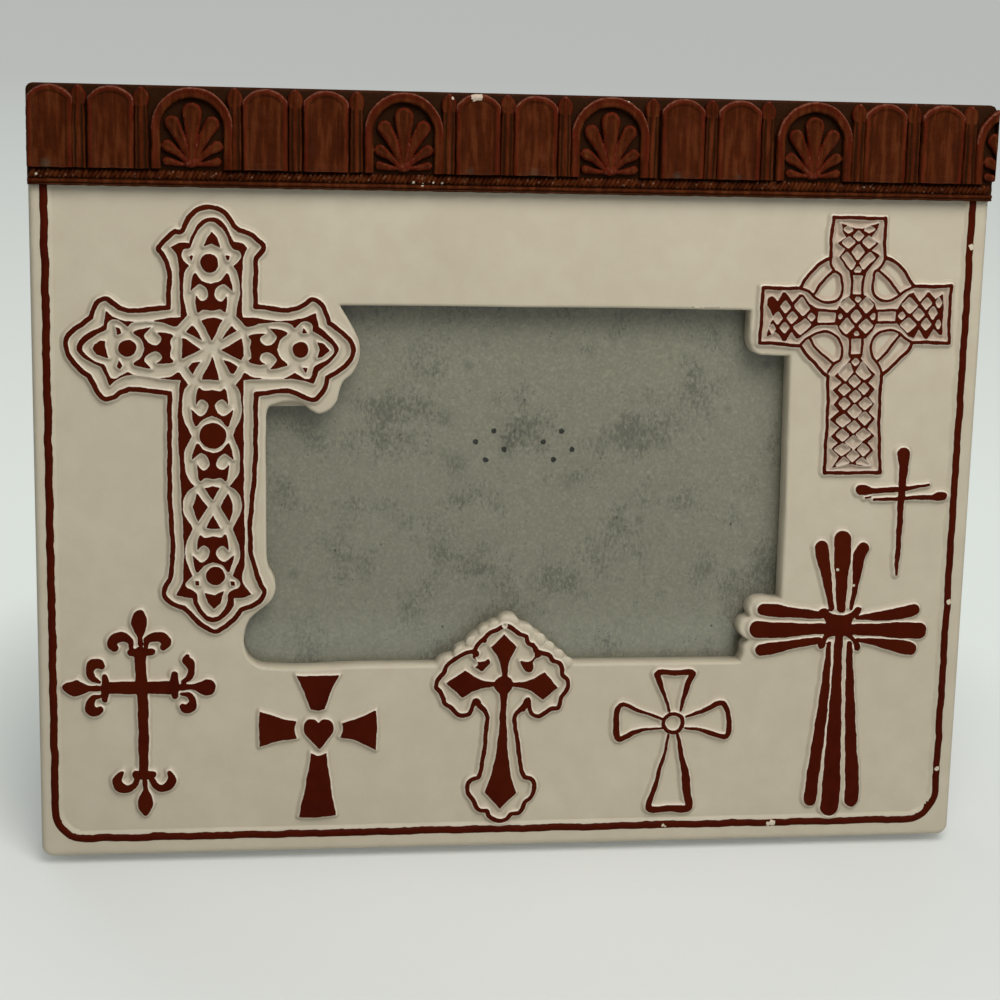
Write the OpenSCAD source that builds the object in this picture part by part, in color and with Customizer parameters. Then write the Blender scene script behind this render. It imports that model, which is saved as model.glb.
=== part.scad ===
// Standing picture frame for one landscape print.
// A thick cast body carries eight raised crosses round its window and a
// separate moulding across the top. The back holds glass, board, hinge
// and a folding strut, kept in by four turn buttons.
// Millimetres. X runs to the right and Z up; the front looks along -Y.

/* [Print and window] */
// Width of the print, the glass and the board
photo_w = 152.4; // [120:0.1:200]
// Height of the print, the glass and the board
photo_h = 101.6; // [80:0.1:140]
// How far the casting laps over the print at its left side
lap_left = 6.4; // [2:0.1:9]
// How far it laps over the print at its right side
lap_right = 4.4; // [2:0.1:9]
// How far it laps over the top of the print
lap_top = 2.3; // [1.5:0.1:6]
// How far it laps over the bottom of the print
lap_bottom = 1.5; // [1:0.1:6]
// Gap round the glass and the board in their rebate
rebate_gap = 0.6; // [0.3:0.1:1.5]

/* [Casting] */
// Left edge of the casting to the window
margin_left = 60.2; // [50:0.1:80]
// Right edge of the casting to the window
margin_right = 52.2; // [43:0.1:75]
// Bottom edge of the casting to the window
margin_bottom = 51.7; // [45:0.1:75]
// Window to the underside of the top moulding
margin_top = 30; // [28:0.1:45]
// Depth of the window from the field down to the glass
window_depth = 6.3; // [4:0.1:10]
// How far the field lies below the rim
field_drop = 1; // [0.5:0.1:2]
// Height of the crosses above the field
relief_h = 1.3; // [0.8:0.1:2]
// Radius of the casting's corners
corner_r = 3; // [2:0.1:8]
// Rounding of the casting's front edge
edge_r = 1.5; // [0.8:0.1:2]
// Edge of the casting to the middle of the border line
border_inset = 4.7; // [3.5:0.1:8]
// Width of the border line
border_w = 1.7; // [1:0.1:3]
// How far the border line stands above the rim
border_rise = 0.4; // [0.2:0.1:1]

/* [Top moulding] */
// Height of the moulding
cornice_h = 25.5; // [21:0.5:32]
// How far its ornament stands in front of the field
cornice_proud = 5; // [4:0.1:9]
// Depth of the ornament itself
ornament_t = 2.4; // [1.2:0.1:3]
// Left end of the moulding to the middle of its first whole arch
first_arch = 41.3; // [30:0.1:54]
// Spacing of the arches
arch_pitch = 54; // [50:0.5:66]
// Spacing of the two tongues between one arch and the next
tongue_pitch = 15.6; // [13.5:0.1:18]
// Width of an arch
arch_w = 20.6; // [17:0.1:24]
// Width of a tongue
tongue_w = 12; // [9:0.1:13]
// Width of the raised band round an arch or a tongue
band_w = 1.6; // [1:0.1:2.2]
// Height of the plain fillet under the rope bead
fillet_h = 1.6; // [1:0.1:3]
// Diameter of the rope bead
rope_d = 2.8; // [2:0.1:3.4]

/* [Back] */
// Thickness of the glass
glass_t = 2; // [1.5:0.1:3]
// Room for the print between the glass and the board
print_gap = 0.2; // [0.2:0.1:1]
// Thickness of the backing board
board_t = 3; // [2:0.1:4]
// Thickness of the flocked cover on the board
cover_t = 0.6; // [0.4:0.1:1.2]
// How far the cover lies below the casting's back
back_recess = 0.4; // [0.3:0.1:1]

/* [Strut] */
// Angle at which the frame leans back
lean = 13; // [10:0.5:15]
// Angle between the strut and the back when it is open
strut_angle = 25; // [20:0.5:26]
// Hinge pin above the middle of the board
hinge_rise = 1.5; // [0:0.1:8]
// Width of the strut at its hinge
strut_top_w = 30; // [24:0.5:40]
// Width of the strut at its foot
strut_foot_w = 46; // [34:0.5:60]
// Thickness of the strut
strut_t = 2.2; // [1.6:0.1:3]

/* [Hinge] */
// Thickness of the hinge leaves
leaf_t = 0.8; // [0.6:0.1:1]
// Steel left round the rivets of the fixed leaf
leaf_edge = 0.8; // [0.4:0.1:3]
// Width of the leaf on the strut
strut_leaf_w = 22; // [18:0.5:28]
// Length of the leaf on the strut, from the pin down
strut_leaf_h = 20; // [16:0.5:30]
// Radius of the hinge pin
pin_r = 0.95; // [0.75:0.01:1.15]
// Radial clearance of the pin in the knuckles
pin_clear = 0.05; // [0.03:0.01:0.08]
// Outer radius of the knuckles
knuckle_r = 1.9; // [1.7:0.05:2.3]
// Width of the middle knuckle
knuckle_w = 9; // [7:0.5:11]
// Width of the tab that stops the strut when it is open
stop_w = 7; // [5:0.5:8]
// Height of that tab above the pin
stop_h = 6.5; // [5:0.5:7.5]
// Spacing of the two pronged rivets
rivet_span = 18.7; // [18:0.1:24]
// Height of the pronged rivets above the pin
rivet_rise = 8.7; // [7.5:0.1:14]
// Radius of the circle that the prongs stand on
prong_circle_r = 4.1; // [3:0.1:4.3]
// Radius of a prong
prong_r = 0.4; // [0.3:0.05:0.5]
// Radius of the two rivets of the strut
strut_rivet_r = 1.5; // [1:0.1:2]
// Spacing of the two rivets of the strut
strut_rivet_span = 12; // [8:0.5:14]

/* [Turn buttons] */
// Distance of a button's pivot from the rebate
button_out = 7; // [6:0.1:9]
// Distance of a button's pivot from the middle of the board
button_side = 50; // [42:0.5:58]
// Pivot to the tip of a button
button_reach = 16; // [13:0.5:20]
// Thickness of a button
button_t = 1; // [0.8:0.1:1.6]
// Radius of the screw shank
screw_r = 1.4; // [1.1:0.05:1.7]
// Depth of the screw in the casting
screw_depth = 8; // [5:0.5:10]

/* [Hidden] */
$fn = 48;
cream = [0.72, 0.69, 0.6];
umber = [0.29, 0.11, 0.06];
steel = [0.72, 0.72, 0.7];
// A joint between two solids of one casting, so that they merge
sink = 0.5;
// Small gap between a piece that moves and its neighbour
run_gap = 0.15;
// Gap round a shank, a prong or a rivet in its hole
hole_gap = 0.05;
// Gap round the screw in the hub of a turn button
hub_gap = 0.1;
// Radius of the border line's bottom corners, at its middle
border_corner_r = 6;

// Window, in the plane of the panel
sight_w = photo_w - lap_left - lap_right;
sight_h = photo_h - lap_top - lap_bottom;
body_w = margin_left + sight_w + margin_right;
body_h = margin_bottom + sight_h + margin_top + cornice_h;
sight_x0 = -body_w / 2 + margin_left;
sight_x1 = sight_x0 + sight_w;
sight_z0 = margin_bottom;
sight_z1 = sight_z0 + sight_h;
sight_xc = (sight_x0 + sight_x1) / 2;
cornice_z = body_h - cornice_h;

// Middle of the print, which isn't quite the middle of the window
board_x = sight_x0 - lap_left + photo_w / 2;
board_z = sight_z0 - lap_bottom + photo_h / 2;

// Depths, counted from the casting's back
rebate_d = glass_t + print_gap + board_t + cover_t + back_recess;
field_d = rebate_d + window_depth;
body_t = field_d + field_drop;
glass_back = rebate_d - glass_t;
board_front = glass_back - print_gap;
board_back = board_front - board_t;

// Places of the crosses, tied to the nearest corner of the window
budded_at = [sight_x0 - 14.2, sight_z1 - 11.3];
celtic_at = [sight_x1 + 16.5, sight_z1 - 1.5];
nail_at = [sight_x1 + 32.5, sight_z1 - 49.8];
fan_at = [sight_x1 + 16.9, sight_z0 + 9.6];
fleur_at = [sight_x0 - 33.2, sight_z0 - 4.5];
heart_at = [sight_x0 + 14, sight_z0 - 17.4];
scallop_at = [sight_xc - 6.3, sight_z0 - 5];
ring_at = [sight_x1 - 29.5, sight_z0 - 17];
// Cream step left round a cross that laps into the window
plateau = 2.4;
// Width of the thin raised outlines
line_w = 1.2;

// Hinge pin, seen in the plane of the panel
hinge_z = board_z + hinge_rise;
// The pin stands off the cover far enough for its knuckles to turn and
// for the folded strut, with its rivet heads, to lie clear of the cover
pin_gap = 0.2;
fold_gap = 0.4;
strut_head_t = 0.5;
strut_back = knuckle_r - leaf_t;
pin_offset = max(knuckle_r + pin_gap,
  strut_t + strut_head_t + fold_gap - strut_back);
pin_y = pin_offset - back_recess;
rivet_z = hinge_z + rivet_rise;
rivet_head_r = prong_circle_r + 0.8;
rivet_head_t = 0.6;
leaf_w = rivet_span + 2 * (rivet_head_r + leaf_edge);
leaf_h = rivet_rise + rivet_head_r + leaf_edge;
knuckle_gap = 0.2;
// Top of the strut below the pin
strut_gap_top = knuckle_r + 0.7;
// The strut is drawn this long and then cut off level with the floor
strut_draw = 1.3 * hinge_z;
foot_tilt = strut_angle - lean;

// Where the leaning frame reaches forward and back on the floor
pin_world_y = pin_y * cos(lean) + hinge_z * sin(lean);
pin_world_z = hinge_z * cos(lean) - pin_y * sin(lean);
foot_y = pin_world_y + pin_world_z * tan(foot_tilt) + strut_back / cos(foot_tilt);
reach_back = max(foot_y, body_h * sin(lean));
rim_y = edge_r + (body_t - edge_r) * cos(lean) - edge_r * sin(lean);
border_y = (body_t + border_rise) * cos(lean)
  - (border_inset - border_w / 2) * sin(lean);
reach_front = max(rim_y, border_y);
stand_y = (reach_front - reach_back) / 2;

button_z = [board_z - photo_h / 2 - rebate_gap - button_out,
  board_z + photo_h / 2 + rebate_gap + button_out];
button_root_r = 4.5;
button_tip_r = 3.4;

// Leans the panel back on its lower rear edge, with the middle of the
// space that it takes up over the origin
module stand() {
  translate([0, stand_y, 0])
    rotate([-lean, 0, 0])
      children();
}

// Draws a flat shape of the panel as a plate from depth d0 to depth d1,
// both counted forward from the casting's back
module plate(d0, d1) {
  translate([0, -d0, 0])
    rotate([90, 0, 0])
      linear_extrude(height = d1 - d0)
        children();
}

// Flat shapes that the reliefs are built of

module disc(x, z, r) {
  translate([x, z])
    circle(r);
}

module bar(x0, z0, x1, z1, grow = 0) {
  translate([x0 - grow, z0 - grow])
    square([x1 - x0 + 2 * grow, z1 - z0 + 2 * grow]);
}

// Points of an arc round c, from angle a to angle b
function arc_points(c, r, a, b, steps) =
  [for (i = [0 : steps]) c + r * [cos(a + (b - a) * i / steps),
    sin(a + (b - a) * i / steps)]];

// Straight stroke with round ends, which may differ in radius; its sides
// are the common tangents of the two ends
module stroke(p, q, rp, rq, steps = 6) {
  d = q - p;
  turn = atan2(d[1], d[0]);
  side = 90 - asin((rp - rq) / norm(d));
  polygon(concat(
    arc_points(p, rp, turn + side, turn + 360 - side, steps),
    arc_points(q, rq, turn - side, turn + side, steps)));
}

// Flared arm of a cross that points along +X
module flared_arm(from, to, near_w, far_w) {
  polygon([[from, -near_w / 2], [to, -far_w / 2], [to, far_w / 2],
    [from, near_w / 2]]);
}

// Large cross with budded ends; grow widens it all round
module budded_shape(grow) {
  bar(-11.6, -65, 11.6, 29, grow);
  bar(-28, -11.6, 28, 11.6, grow);
  for (side = [-1, 1]) {
    disc(side * 9.6, 26, 4 + grow);
    disc(side * 9.8, -65, 4 + grow);
    for (up = [-1, 1])
      disc(side * 27.2, up * 9.7, 3.6 + grow);
    disc(side * 29.5, 0, 7.7 + grow);
  }
  disc(0, 28.9, 7.8 + grow);
  disc(0.4, -68, 8.4 + grow);
}

module budded_relief() {
  difference() {
    budded_shape(0);
    budded_shape(-line_w);
  }
  difference() {
    budded_shape(-3.6);
    budded_lace();
  }
}

// Channels between the painted islands of the large cross
module budded_lace() {
  hub_r = 8.6;
  channel = 1.8;
  difference() {
    circle(hub_r + channel / 2);
    circle(hub_r - channel / 2);
  }
  for (turn = [0 : 45 : 315])
    rotate(turn + 22.5)
      bar(0, -channel / 2, hub_r, channel / 2);
  for (p = [[0, 22.3], [0, -22.5], [0, -42], [0, -60.6], [-21.6, 0], [22.9, 0]])
    translate(p)
      difference() {
        circle(p[1] == -22.5 || p[1] == -42 ? 5.6 : 4.4);
        circle(p[1] == -22.5 || p[1] == -42 ? 3.4 : 2.2);
      }
}

// Wheel cross with a long foot; grow widens it all round
module celtic_shape(grow) {
  bar(-7.6, -43.3, 7.6, 26.7, grow);
  bar(-26, -7.6, 26.7, 7.6, grow);
}

module celtic_relief() {
  difference() {
    union() {
      celtic_shape(0);
      circle(17);
    }
    difference() {
      circle(16);
      circle(12.4);
      celtic_shape(0);
    }
    difference() {
      circle(11.4);
      celtic_shape(0);
    }
    difference() {
      celtic_shape(-line_w);
      celtic_lattice();
    }
  }
}

// Diagonal lattice inside the wheel cross
module celtic_lattice() {
  pitch = 4.2;
  rib = 0.8;
  lean_of_rib = 33;
  for (side = [-1, 1], n = [-4 : 3])
    translate([0, -24 + n * pitch])
      rotate(side * lean_of_rib)
        bar(-7, -rib / 2, 7, rib / 2);
  for (side = [-1, 1], n = [0 : 2])
    translate([0, 14 + n * pitch])
      rotate(side * lean_of_rib)
        bar(-7, -rib / 2, 7, rib / 2);
  for (side = [-1, 1], end = [-1, 1], n = [0 : 2])
    translate([end * (14 + n * pitch), 0])
      rotate(90 + side * lean_of_rib)
        bar(-7, -rib / 2, 7, rib / 2);
}

// Cross of four square-cut nails
module nail_relief() {
  stroke([0.2, 10.6], [0.3, 0], 2, 1.1);
  stroke([0.3, 0], [-0.1, -22.4], 1.1, 0.6);
  stroke([-12.2, 1.2], [7, 2.5], 1.3, 0.4);
  stroke([11.6, -0.6], [-7.4, -1.7], 1.3, 0.4);
}

// Cross whose arms are three long fingers each
module fan_arm(reach, side_reach, spread, root, tip) {
  stroke([0, 0], [reach - tip, 0], root, tip);
  for (side = [-1, 1])
    stroke([5, side * 3.1], [side_reach - tip, side * spread], 1, tip * 0.72);
}

module fan_relief() {
  bar(-6, -5.6, 6, 5.6);
  fan_arm(24.9, 22.4, 5.3, 1.7, 2.6);
  rotate(90)
    fan_arm(27.5, 25, 5.5, 1.7, 2.6);
  rotate(180)
    fan_arm(24.9, 22.4, 5.3, 1.7, 2.6);
  rotate(270)
    fan_arm(55, 51, 6.2, 1.9, 2.8);
}

// Step round the finger ends of that cross, where the window meets it
module fan_plateau() {
  disc(-20.6, 5.6, 4.6);
  disc(-22.8, 0, 4.6);
  disc(-21, -5.6, 4.6);
  bar(-20.6, -12, 0, 10.2);
}

// Cross whose four ends are lilies
module lily(reach) {
  stroke([reach - 5.5, 0], [reach, 0], 0.6, 2);
  bar(-1, -1.6, 1.4, 1.6);
  stroke([0, -3], [0, 3], 1, 1);
  for (side = [-1, 1]) {
    stroke([0.6, side * 2], [4.3, side * 3.2], 0.8, 1.2);
    stroke([4.3, side * 3.2], [5, side * 6], 1.2, 1.5);
    stroke([5, side * 6], [2.8, side * 8], 1.5, 1.2);
  }
}

module fleur_relief() {
  bar(-1.5, -22, 1.5, 10);
  bar(-9.5, -1.8, 9.5, 1.8);
  translate([0, 9.5])
    rotate(90)
      lily(9.6);
  translate([0, -24])
    rotate(-90)
      lily(10);
  translate([-9.6, 0])
    rotate(180)
      lily(9.2);
  translate([9, 0])
    lily(8.6);
}

// Flared cross with a heart at its middle
module heart_relief() {
  rotate(180)
    flared_arm(5.6, 15.4, 4.6, 10.4);
  flared_arm(6.2, 15.6, 4, 11);
  rotate(90)
    flared_arm(5.4, 15.4, 4.4, 11.4);
  rotate(270)
    flared_arm(6.4, 24.8, 4.2, 10);
  for (side = [-1, 1])
    disc(side * 2, 1, 2.1);
  polygon([[-4, 0.6], [0, -5.4], [4, 0.6], [0, 2.4]]);
}

// Scalloped cross that laps over the sill of the window
module scallop_shape(grow) {
  disc(0, 13.6, 3.4 + grow);
  for (side = [-1, 1]) {
    disc(side * 5, 11, 3.2 + grow);
    disc(side * 9, 7.2, 2.8 + grow);
    disc(side * 13.6, 3, 4.4 + grow);
    disc(side * 14.6, -1, 4 + grow);
    disc(side * 11, -5, 3.6 + grow);
    disc(side * 5.4, -29.6, 4.2 + grow);
  }
  bar(-12, -4, 12, 8, grow);
  bar(-5, -30, 5, 14, grow);
  disc(0, -34.6, 4.9 + grow);
}

module scallop_relief() {
  difference() {
    scallop_shape(0);
    scallop_shape(-line_w);
  }
  bar(-1, -24, 1, 10);
  bar(-8, -0.8, 8, 0.8);
  polygon([[0, 14], [-3.6, 10.6], [-1, 3], [1, 3], [3.6, 10.6]]);
  polygon([[0, -36], [-4.3, -31], [-1, -18], [1, -18], [4.3, -31]]);
  for (side = [-1, 1])
    polygon([[side * 15.4, 0.4], [side * 11, 4.4], [side * 5, 0.8],
      [side * 5, -0.8], [side * 11, -3.8]]);
}

// Hollow flared cross with a ring at its middle
module hollow_arm(from, to, near_w, far_w) {
  difference() {
    flared_arm(from, to, near_w, far_w);
    flared_arm(from, to - 1.5, near_w - 1.6, far_w - 3);
  }
}

module ring_relief() {
  difference() {
    union() {
      circle(3.4);
      hollow_arm(2.4, 16.4, 3.4, 11.4);
      rotate(90)
        hollow_arm(2.4, 15, 3.6, 11.4);
      rotate(180)
        hollow_arm(2.4, 16.4, 3.4, 10.8);
      rotate(270)
        hollow_arm(2.4, 25.4, 3.6, 13);
    }
    circle(2.2);
  }
}

// Border line, open at the top where it runs under the moulding
module border_line() {
  r = border_corner_r;
  x = body_w / 2 - border_inset;
  half = border_w / 2;
  for (side = [-1, 1]) {
    bar(side * x - half, border_inset + r, side * x + half, cornice_z);
    translate([side * (x - r), border_inset + r])
      intersection() {
        difference() {
          circle(r + half);
          circle(r - half);
        }
        scale([side, 1])
          bar(0, -r - half, r + half, 0);
      }
  }
  bar(-x + r, border_inset - half, x - r, border_inset + half);
}

// Sunken field inside the border line
module field_shape() {
  r = border_corner_r;
  x = body_w / 2 - border_inset;
  bar(-x, border_inset + r, x, cornice_z + 1);
  bar(-x + r, border_inset, x - r, cornice_z + 1);
  for (side = [-1, 1])
    disc(side * (x - r), border_inset + r, r);
}

// Window, cut round the crosses that lap into it
module window_shape() {
  difference() {
    union() {
      bar(sight_x0, sight_z0, sight_x1, sight_z1);
      disc(sight_x0 - 0.3, sight_z0 + 5.4, 5.3);
      polygon([[sight_x0 - 4.8, sight_z0 + 7], [sight_x0, sight_z0 + 19],
        [sight_x0, sight_z0 + 7]]);
    }
    translate(budded_at)
      budded_shape(plateau);
    translate(celtic_at) {
      bar(-25.4, -10.7, 0, 10);
      bar(-28.4, -7.7, 0, 10);
      disc(-25.4, -7.7, 3);
    }
    translate(fan_at)
      fan_plateau();
    translate(scallop_at)
      scallop_shape(plateau - 0.6);
  }
}

module all_crosses() {
  translate(budded_at)
    budded_relief();
  translate(celtic_at)
    celtic_relief();
  translate(nail_at)
    nail_relief();
  translate(fan_at)
    fan_relief();
  translate(fleur_at)
    fleur_relief();
  translate(heart_at)
    heart_relief();
  translate(scallop_at)
    scallop_relief();
  translate(ring_at)
    ring_relief();
}

// Block with round corners and a rounded front edge
module rounded_slab() {
  w = body_w / 2 - corner_r;
  for (x = [-w, w], z = [corner_r, body_h - corner_r])
    translate([x, 0, z])
      rotate([90, 0, 0])
        rotate_extrude()
          edge_profile(corner_r);
  translate([-w, 0, body_h / 2])
    rotate([90, 0, 90])
      linear_extrude(height = 2 * w)
        mirrored_profile(body_h / 2);
  translate([0, 0, corner_r])
    linear_extrude(height = body_h - 2 * corner_r)
      rotate(180)
        turned_profile(body_w / 2);
}

// Half section of the block: x outwards, y forward from its back
module edge_profile(half) {
  square([half - edge_r, body_t]);
  square([half, body_t - edge_r]);
  translate([half - edge_r, body_t - edge_r])
    circle(edge_r);
}

module turned_profile(half) {
  for (side = [-1, 1])
    scale([side, 1])
      edge_profile(half);
}

// The same section laid so that its depth runs towards -Y
module mirrored_profile(half) {
  rotate(90)
    turned_profile(half);
}

module frame_casting() {
  color(cream)
    stand()
      difference() {
        union() {
          difference() {
            rounded_slab();
            plate(field_d, body_t + 1)
              field_shape();
            plate(field_d, body_t + 1)
              bar(-body_w, cornice_z, body_w, body_h + 1);
          }
          plate(field_d - sink, body_t + border_rise)
            border_line();
          plate(field_d - sink, field_d + relief_h)
            all_crosses();
        }
        plate(-1, body_t + relief_h + 1)
          window_shape();
        plate(-1, rebate_d)
          bar(board_x - photo_w / 2, board_z - photo_h / 2,
            board_x + photo_w / 2, board_z + photo_h / 2, rebate_gap);
        at_buttons()
          translate([0, -screw_depth - 1, 0])
            rotate([-90, 0, 0])
              cylinder(r = screw_r + hole_gap, h = screw_depth + 2);
      }
}

// Arch or tongue of the moulding as a flat round-topped shape
module round_top(x, w, foot, top) {
  bar(x - w / 2, foot, x + w / 2, top - w / 2);
  disc(x, top - w / 2, w / 2);
}

// Seven petals that fan out from a boss; each is [angle, length]
module palmette(x, foot) {
  petals = [[-75, 7], [-50, 8.6], [-26, 12.2], [0, 13.4], [26, 12.2],
    [50, 8.6], [75, 7]];
  boss_r = 1.5;
  root_r = 0.4;
  tip_r = 1.5;
  disc(x, foot + 0.8, boss_r);
  for (petal = petals)
    translate([x, foot + root_r])
      rotate(90 + petal[0])
        stroke([2, 0], [petal[1] - tip_r, 0], root_r, tip_r);
}

// Narrow dart between two round tops
module dart(x, foot, top) {
  stem = 0.6;
  leaf = 1.2;
  leaf_h = 4;
  polygon([[x - stem, foot], [x + stem, foot], [x + leaf, top - leaf_h],
    [x, top], [x - leaf, top - leaf_h]]);
}

module cornice() {
  rope_z = cornice_z + fillet_h + rope_d / 2;
  foot = rope_z + rope_d / 2;
  top = body_h - 1;
  back_t = cornice_proud - ornament_t;
  first = -body_w / 2 + first_arch - arch_pitch;
  count = ceil(body_w / arch_pitch) + 1;
  side_gap = (arch_pitch - tongue_pitch) / 2;
  between = side_gap - (side_gap - arch_w / 2 - tongue_w / 2) / 2 - tongue_w / 2;
  // How far petals, darts and the floors of tongues stay behind the arches
  petal_set = 0.6;
  dart_set = 0.8;
  tongue_set = 1.2;
  color(umber)
    stand()
      intersection() {
        plate(field_d, field_d + cornice_proud)
          bar(-body_w / 2, cornice_z, body_w / 2, body_h);
        union() {
          plate(field_d, field_d + back_t)
            bar(-body_w / 2, cornice_z, body_w / 2, body_h);
          plate(field_d, field_d + back_t + 1)
            bar(-body_w / 2, cornice_z, body_w / 2, cornice_z + fillet_h);
          translate([-body_w / 2, -field_d - back_t, rope_z])
            rotate([0, 90, 0])
              cylinder(d = rope_d, h = body_w);
          for (n = [0 : count]) {
            arch_x = first + n * arch_pitch;
            plate(field_d + back_t - sink, field_d + cornice_proud)
              difference() {
                round_top(arch_x, arch_w, foot, top);
                round_top(arch_x, arch_w - 2 * band_w, foot, top - band_w);
              }
            plate(field_d + back_t - sink, field_d + cornice_proud - petal_set)
              palmette(arch_x, foot);
            for (x = [arch_x + side_gap, arch_x + arch_pitch - side_gap]) {
              plate(field_d + back_t - sink, field_d + cornice_proud)
                difference() {
                  round_top(x, tongue_w, foot, top);
                  round_top(x, tongue_w - 2 * band_w, foot, top - band_w);
                }
              plate(field_d + back_t - sink, field_d + cornice_proud - tongue_set)
                round_top(x, tongue_w - band_w, foot, top - band_w / 2);
            }
            for (x = [arch_x + between, arch_x + arch_pitch / 2,
                arch_x + arch_pitch - between])
              plate(field_d + back_t - sink, field_d + cornice_proud - dart_set)
                dart(x, foot, top);
          }
        }
      }
}

module board_plate(d0, d1, trim) {
  plate(d0, d1)
    bar(board_x - photo_w / 2, board_z - photo_h / 2,
      board_x + photo_w / 2, board_z + photo_h / 2, -trim);
}

module glass_pane() {
  color([0.8, 0.85, 0.85, 0.35])
    stand()
      board_plate(glass_back, rebate_d, 0);
}

module backing_board() {
  color([0.45, 0.45, 0.41])
    stand()
      difference() {
        board_plate(board_back, board_front, 0);
        prong_holes();
      }
}

module backing_cover() {
  color([0.04, 0.04, 0.04])
    stand()
      difference() {
        board_plate(back_recess, board_back, 0.5);
        prong_holes();
      }
}

// Places of the prongs: two circles of four
module at_prongs() {
  for (side = [-1, 1], turn = [-15, 75, 165, 255])
    translate([board_x + side * rivet_span / 2 + prong_circle_r * cos(turn), 0,
      rivet_z + prong_circle_r * sin(turn)])
      children();
}

module prong_holes() {
  at_prongs()
    rotate([90, 0, 0])
      cylinder(r = prong_r + hole_gap, h = 3 * board_front, center = true);
}

// Puts what is drawn round the origin on the hinge pin
module at_pin() {
  translate([board_x, pin_y, hinge_z])
    children();
}

// Hollow knuckle along X, centred on the pin
module knuckle(x0, x1) {
  translate([x0, 0, 0])
    rotate([0, 90, 0])
      cylinder(r = knuckle_r, h = x1 - x0);
}

module pin_bore() {
  rotate([0, 90, 0])
    cylinder(r = pin_r + pin_clear, h = leaf_w + 10, center = true);
}

module hinge_fixed_leaf() {
  face = -pin_offset;
  root_t = pin_offset - knuckle_r + leaf_t;
  inner = knuckle_w / 2 + knuckle_gap;
  color(steel)
    stand()
      difference() {
        at_pin()
          difference() {
            union() {
              translate([-leaf_w / 2, face, knuckle_r + 0.4])
                cube([leaf_w, leaf_t, leaf_h - knuckle_r - 0.4]);
              for (x = [-leaf_w / 2, inner]) {
                translate([x, face, 0])
                  cube([leaf_w / 2 - inner, root_t, knuckle_r + 0.5]);
                knuckle(x, x + leaf_w / 2 - inner);
              }
            }
            pin_bore();
          }
        prong_holes();
      }
}

// Each rivet is a round plate with four prongs through leaf and board
module hinge_pronged_rivets() {
  leaf_back = leaf_t - back_recess;
  color(steel)
    stand() {
      for (side = [-1, 1])
        translate([board_x + side * rivet_span / 2, leaf_back, rivet_z])
          rotate([-90, 0, 0])
            cylinder(r = rivet_head_r, h = rivet_head_t);
      at_prongs()
        translate([0, -board_front, 0])
          rotate([-90, 0, 0])
            cylinder(r = prong_r, h = board_front + leaf_back + 0.1);
    }
}

module hinge_pin() {
  head_t = 0.8;
  color(steel)
    stand()
      at_pin()
        rotate([0, 90, 0]) {
          cylinder(r = pin_r, h = leaf_w + 0.4, center = true);
          for (side = [-1, 1])
            translate([0, 0, side * (leaf_w / 2 + 0.1 + head_t / 2)])
              cylinder(r = pin_r + 0.5, h = head_t, center = true);
        }
}

// Turns what is drawn in the folded place out to the open strut
module open_strut() {
  stand()
    at_pin()
      rotate([strut_angle, 0, 0])
        children();
}

module hinge_moving_leaf() {
  face = leaf_t - pin_offset;
  color(steel)
    difference() {
      union() {
        open_strut()
          difference() {
            union() {
              knuckle(-knuckle_w / 2, knuckle_w / 2);
              translate([-knuckle_w / 2, strut_back, -strut_gap_top])
                cube([knuckle_w, leaf_t, strut_gap_top]);
              translate([-strut_leaf_w / 2, strut_back, -strut_leaf_h])
                cube([strut_leaf_w, leaf_t, strut_leaf_h - strut_gap_top]);
            }
            strut_rivet_shanks(hole_gap);
          }
        stand()
          at_pin()
            translate([-stop_w / 2, face + run_gap, 0])
              cube([stop_w, leaf_t, stop_h]);
      }
      stand()
        at_pin()
          pin_bore();
    }
}

module at_strut_rivets() {
  for (side = [-1, 1])
    translate([side * strut_rivet_span / 2, strut_back, -strut_leaf_h / 2 - 2])
      rotate([90, 0, 0])
        children();
}

module strut_rivet_shanks(grow) {
  at_strut_rivets()
    cylinder(r = strut_rivet_r + grow, h = 4 * strut_t, center = true);
}

// Everything under the plane that the frame stands on
module below_floor() {
  translate([-body_w, -body_w, -body_h])
    cube([2 * body_w, 2 * body_w, body_h]);
}

module strut_outline() {
  r = 3;
  polygon([[-strut_top_w / 2, -strut_gap_top - r],
    [-strut_top_w / 2 + r, -strut_gap_top],
    [strut_top_w / 2 - r, -strut_gap_top],
    [strut_top_w / 2, -strut_gap_top - r],
    [strut_foot_w / 2, -hinge_z], [strut_foot_w / 2, -strut_draw],
    [-strut_foot_w / 2, -strut_draw], [-strut_foot_w / 2, -hinge_z]]);
}

module strut_board() {
  color([0.04, 0.04, 0.04])
    difference() {
      open_strut()
        difference() {
          translate([0, strut_back, 0])
            plate(0, strut_t)
              strut_outline();
          strut_rivet_shanks(hole_gap);
        }
      below_floor();
    }
}

// Tubular rivets with a flat head on each side of the strut
module strut_rivets() {
  head_r = strut_rivet_r + 1.1;
  color(steel)
    open_strut()
      at_strut_rivets() {
        translate([0, 0, -leaf_t])
          cylinder(r = strut_rivet_r, h = leaf_t + strut_t);
        for (z = [strut_t, -leaf_t - strut_head_t])
          translate([0, 0, z])
            cylinder(r = head_r, h = strut_head_t);
      }
}

// Places of the buttons in the plane of the back
module at_buttons() {
  for (z = button_z, side = [-1, 1])
    translate([board_x + side * button_side, 0, z])
      children();
}

// Flat flipper over the edge of the board; way is 1 up and -1 down
module turn_button(side, level) {
  way = level == 0 ? 1 : -1;
  color(steel)
    stand()
      translate([board_x + side * button_side, run_gap, button_z[level]])
        rotate([-90, 0, 0])
          difference() {
            linear_extrude(height = button_t)
              stroke([0, 0], [0, -way * (button_reach - button_tip_r)],
                button_root_r, button_tip_r);
            translate([0, 0, -1])
              cylinder(r = screw_r + hub_gap, h = button_t + 2);
          }
}

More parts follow.
